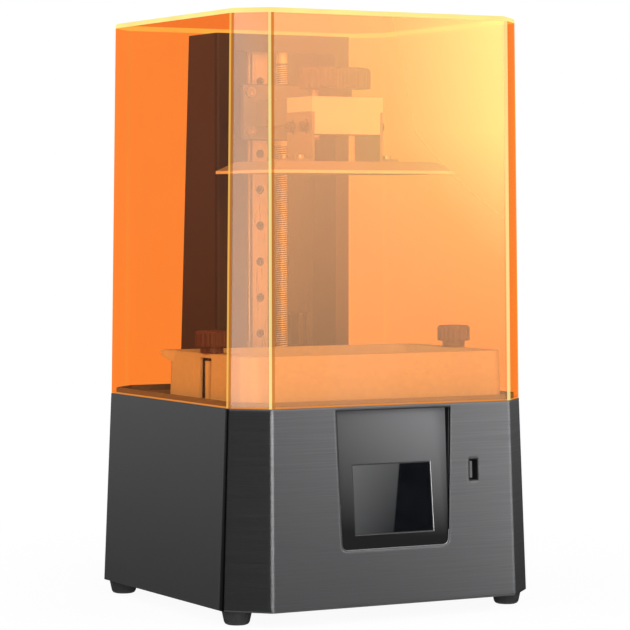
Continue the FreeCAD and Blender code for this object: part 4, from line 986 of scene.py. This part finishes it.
def carry_section(outside, inside, slope):
    # The section's outer corner lies on the panel, its inner one is deeper by the slope.
    shape = bmesh.new()
    rings = []
    for (x0, z0), (x1, z1) in zip(outside, inside):
        section = [on_panel(x0, z0, -EDGE_LIFT), on_panel(x1, z1, slope), on_panel(x0, z0, EDGE_DEPTH)]
        rings.append(closed_ring(shape, section)[1])
    for first, second in zip(rings, rings[1:]):
        bmesh.ops.bridge_loops(shape, edges=first + second)
    for ring in (rings[0], rings[-1]):
        bmesh.ops.contextual_create(shape, geom=ring)
    return shape


# The light grey of the cut edge is a painted highlight along its foot and a short way up its sides.
edge_highlight_finish = grained("cut_edge_highlight", *greys(0.26, 0.34), FINE, (0.3, 0.4), 0.03, 0.5)
edge_shape = carry_section(opening_path(0.0), opening_path(EDGE_W), EDGE_DEPTH)
finish_piece("opening_edge", edge_shape, "base", [edge_highlight_finish])

# %% [markdown]
# ## The shadow gap above the bezel
# Up the left side and along the top, the gap between sheet and bezel is filled by a thin black strip, a
# painted shadow that draws the dark line round the bezel. It is the same three-sided section, laid almost
# flat.

# %% Shadow gap
SHADOW_GAP_W = 0.0007
SHADOW_GAP_SLOPE = 0.0001


def shadow_gap_path(inset):
    half = OPENING_HALF_FOOT - inset
    top = OPENING_H - inset
    return [
        (-(half + OPENING_FLARE * LEFT_RISE), LEFT_RISE),
        (-(half + OPENING_FLARE * top), top),
        (half + OPENING_FLARE * top, top),
    ]


# A black strip laid in the gap as a painted shadow.
shadow_gap_finish = grained("shadow_gap_black", *greys(0.004, 0.008), FINE, (0.6, 0.7), 0.05)
shadow_gap_shape = carry_section(shadow_gap_path(0.0), shadow_gap_path(SHADOW_GAP_W), SHADOW_GAP_SLOPE)
finish_piece("bezel_shadow_gap", shadow_gap_shape, "base", [shadow_gap_finish])

# %% [markdown]
# ## The room
# The room is white to the camera, in mirrors and through glass, and soft grey light to everything else.
# Dark metal needs something dark to show its shape, so a round wall stands about the machine, bright on
# some sides and black on others. Only mirrors see it.

# %% Room
ROOM_BRIGHT_YAW = math.radians(-50.0)
# Turn away from the bright side of the room (cosine) and how bright the wall is there.
ROOM_WALLS = [(-1.0, 1.0), (-0.86, 0.6), (-0.7, 0.03), (-0.2, 0.02), (0.08, 0.2), (0.35, 0.5), (1.0, 0.6)]
ROOM_FADE = (-0.16, 0.04)
ROOM_STRENGTH = (0.08, 1.0)
WALL_REACH = 2.6
WALL_SIDES = 64
MACHINE_MIDDLE = 0.2


def seen_share(tree):
    # 1 for what the camera sees directly, in a mirror or through glass.
    ray = tree.nodes.new("ShaderNodeLightPath").outputs
    mirrored = calculate(tree, "MAXIMUM", ray["Is Camera Ray"], ray["Is Glossy Ray"])
    return calculate(tree, "MAXIMUM", mirrored, ray["Is Transmission Ray"])


def room_ramp(tree, direction):
    # The grey of the studio's walls, by the direction in which they stand.
    bright_side = (math.cos(ROOM_BRIGHT_YAW), math.sin(ROOM_BRIGHT_YAW), 0.0)
    around = spread(tree, dot_with(tree, direction, bright_side), 0.0, 1.0, -1.0, 1.0)
    ramp = tree.nodes.new("ShaderNodeValToRGB")
    for place, _ in ROOM_WALLS[1:-1]:
        ramp.color_ramp.elements.new((place + 1) / 2)
    for stop, (place, level) in zip(ramp.color_ramp.elements, ROOM_WALLS):
        stop.position = (place + 1) / 2
        stop.color = (*grey(level), 1.0)
    tree.links.new(around, ramp.inputs["Fac"])
    return ramp.outputs["Color"]


def wall_material():
    # Grey card that fades to black below the table's level.
    material, tree, shader = start_finish("studio_wall")
    flat = tree.nodes.new("ShaderNodeVectorMath")
    flat.operation = "MULTIPLY"
    tree.links.new(object_point(tree), flat.inputs[0])
    flat.inputs[1].default_value = (1.0 / WALL_REACH, 1.0 / WALL_REACH, 0.0)
    lamp = glow_only(tree, shader)
    tree.links.new(room_ramp(tree, flat.outputs["Vector"]), lamp.inputs["Color"])
    low, high = (MACHINE_MIDDLE + share * WALL_REACH for share in ROOM_FADE)
    rise = axis_share(tree, "Z", low, high)
    tree.links.new(between(tree, rise, *ROOM_STRENGTH), lamp.inputs["Strength"])
    return material


def add_wall():
    shape = bmesh.new()
    bmesh.ops.create_cone(
        shape, cap_ends=False, segments=WALL_SIDES, radius1=WALL_REACH, radius2=WALL_REACH,
        depth=2 * WALL_REACH,
    )
    bmesh.ops.reverse_faces(shape, faces=shape.faces[:])
    wall = object_from("studio_wall", shape, [wall_material()])
    return wall


def only_in_mirrors(card):
    card.visible_camera = False
    card.visible_diffuse = False
    card.visible_shadow = False
    card.visible_transmission = False


def plain_room():
    world = bpy.data.worlds.new("studio")
    scene.world = world
    world.use_nodes = True
    tree = world.node_tree
    soft = tree.nodes["Background"]
    direction = tree.nodes.new("ShaderNodeTexCoord").outputs["Generated"]
    tree.links.new(room_ramp(tree, direction), soft.inputs["Color"])
    fade = spread(tree, part_along(tree, direction, "Z"), *ROOM_STRENGTH, *ROOM_FADE)
    tree.links.new(fade, soft.inputs["Strength"])
    white = tree.nodes.new("ShaderNodeBackground")
    white.inputs["Color"].default_value = (*WHITE, 1.0)
    body = mix_shaders(tree, seen_share(tree), soft.outputs["Background"], white.outputs["Background"])
    tree.links.new(body, tree.nodes["World Output"].inputs["Surface"])


plain_room()
only_in_mirrors(add_wall())
print("room walls", len(ROOM_WALLS), "stops")

# %% [markdown]
# ## The floor and the lamps
# The floor is pale and turns to plain white away from the machine, so that only the contact shadow shows.
# Four soft lamps light the machine: from above, from the front, a small key from the right that gives the
# hood its bloom, and one from the left that mirrors don't see.

# %% Floor and lamps
FLOOR_W = 6.0
FLOOR_NEAR = 0.14
FLOOR_FAR = 0.5
FLOOR_WHITE = 0.94
FLOOR_MOTTLE = (3.0, 3.0, 3.0)
# Name, place, target, size and watts of each lamp.
LAMPS = [
    ("top_lamp", (0.1, -0.3, 1.7), (0, 0, 0.2), (1.6, 1.6), 11),
    ("front_lamp", (-0.62, -1.92, 0.55), (0, 0, 0.2), (0.9, 1.2), 26),
    ("key_lamp", (0.95, -0.85, 0.5), (0, 0, 0.15), (0.5, 0.7), 4),
    ("side_lamp", (-1.3, 0.1, 0.7), (0, 0, 0.2), (0.8, 0.8), 12),
]


def add_lamp(name, place, target, size, watts):
    lamp_data = bpy.data.lights.new(name, "AREA")
    lamp_data.shape = "RECTANGLE"
    lamp_data.size, lamp_data.size_y = size
    lamp_data.energy = watts
    lamp = bpy.data.objects.new(name, lamp_data)
    lamp.location = place
    lamp.rotation_euler = (Vector(target) - Vector(place)).to_track_quat("-Z", "Y").to_euler()
    lamp.visible_camera = False
    scene.collection.objects.link(lamp)
    return lamp


def add_card(name, middle, facing, width, height, material):
    shape = bmesh.new()
    bmesh.ops.create_grid(shape, x_segments=1, y_segments=1, size=0.5)
    bmesh.ops.scale(shape, vec=(width, height, 1.0), verts=shape.verts[:])
    turn = (Vector(facing) - Vector(middle)).to_track_quat("Z", "Y").to_matrix().to_4x4()
    bmesh.ops.transform(shape, matrix=Matrix.Translation(middle) @ turn, verts=shape.verts[:])
    card = object_from(name, shape, [material])
    return card


def floor_material():
    # Shaded near the machine, where its shadow falls, and plain white farther out.
    material, tree, shader = start_finish("studio_floor")
    mottling = grain(tree, FLOOR_MOTTLE)
    tree.links.new(two_tones(tree, mottling, *greys(0.93, 0.95)), shader.inputs["Base Color"])
    shader.inputs["Roughness"].default_value = 0.9
    length = tree.nodes.new("ShaderNodeVectorMath")
    length.operation = "LENGTH"
    tree.links.new(object_point(tree), length.inputs[0])
    white_share = spread(tree, length.outputs["Value"], FLOOR_WHITE, 1.0, FLOOR_NEAR, FLOOR_FAR)
    white = tree.nodes.new("ShaderNodeEmission")
    share = multiply(tree, seen_share(tree), white_share)
    show(tree, mix_shaders(tree, share, shader.outputs["BSDF"], white.outputs["Emission"]))
    return material


floor = add_card("floor", (0, 0, 0), (0, 0, 1), FLOOR_W, FLOOR_W, floor_material())
floor.visible_glossy = False
lamps = {row[0]: add_lamp(*row) for row in LAMPS}
lamps["side_lamp"].visible_glossy = False
print("lamps", list(lamps))

# %% [markdown]
# ## The sheen on the screen
# The glass mirrors whatever stands to the front right. A card there is bright at its upper left and
# black beyond a slanted line, which gives the screen its split sheen. Its place follows from the mirror
# image of the camera in the glass. A plain bright card farther right gives the trim its light line.

# %% Sheen cards
SHEEN_REACH = 0.5
SHEEN_SIZE = (0.105, 0.095)
SHEEN_STRENGTH = 3.0
SHEEN_SPLIT = 0.003
SPLIT_SOFT = 0.0006
SPLIT_SLANT = -0.19
FADE_TURN = 0.8
FADE_LEVELS = (0.03, 1.0)
FADE_ENDS = (-0.03, 0.05)
RIGHT_CARD_AT = (0.77, -0.74, 0.20)
RIGHT_CARD_AIM = (0.05, -0.11, 0.08)
RIGHT_CARD_SIZE = (0.4, 0.5)
RIGHT_CARD_STRENGTH = 3.0


def sheen_material(middle, across, up):
    material, tree, shader = start_finish("sheen_card")
    offset = tree.nodes.new("ShaderNodeVectorMath")
    offset.operation = "SUBTRACT"
    tree.links.new(object_point(tree), offset.inputs[0])
    offset.inputs[1].default_value = middle
    along = dot_with(tree, offset.outputs["Vector"], across + up * SPLIT_SLANT)
    rise = dot_with(tree, offset.outputs["Vector"], up * FADE_TURN - across * FADE_TURN)
    left_part = spread(tree, along, 1.0, 0.0, SHEEN_SPLIT - SPLIT_SOFT, SHEEN_SPLIT + SPLIT_SOFT)
    fade = spread(tree, rise, *FADE_LEVELS, *FADE_ENDS)
    strength = multiply(tree, multiply(tree, left_part, fade), SHEEN_STRENGTH)
    tree.links.new(strength, glow_only(tree, shader).inputs["Strength"])
    return material


def plain_glow(name, strength):
    material, tree, shader = start_finish(name)
    glow_only(tree, shader).inputs["Strength"].default_value = strength
    return material


glass_normal, glass_corners = glass_plane()
glass_middle = sum(glass_corners, Vector()) / len(glass_corners)
mirror_camera = CAMERA_AT - 2 * (CAMERA_AT - glass_middle).dot(glass_normal) * glass_normal
out_ray = (glass_middle - mirror_camera).normalized()
sheen_at = glass_middle + out_ray * SHEEN_REACH
sheen_across = Vector((0, 0, 1)).cross(out_ray).normalized()
sheen_up = out_ray.cross(sheen_across).normalized()
sheen_finish = sheen_material(sheen_at, sheen_across, sheen_up)
right_finish = plain_glow("right_card", RIGHT_CARD_STRENGTH)
only_in_mirrors(add_card("sheen_card", sheen_at, glass_middle, *SHEEN_SIZE, sheen_finish))
only_in_mirrors(add_card("right_card", RIGHT_CARD_AT, RIGHT_CARD_AIM, *RIGHT_CARD_SIZE, right_finish))
print("sheen card at", [round(c, 3) for c in sheen_at], "across", [round(c, 2) for c in sheen_across])
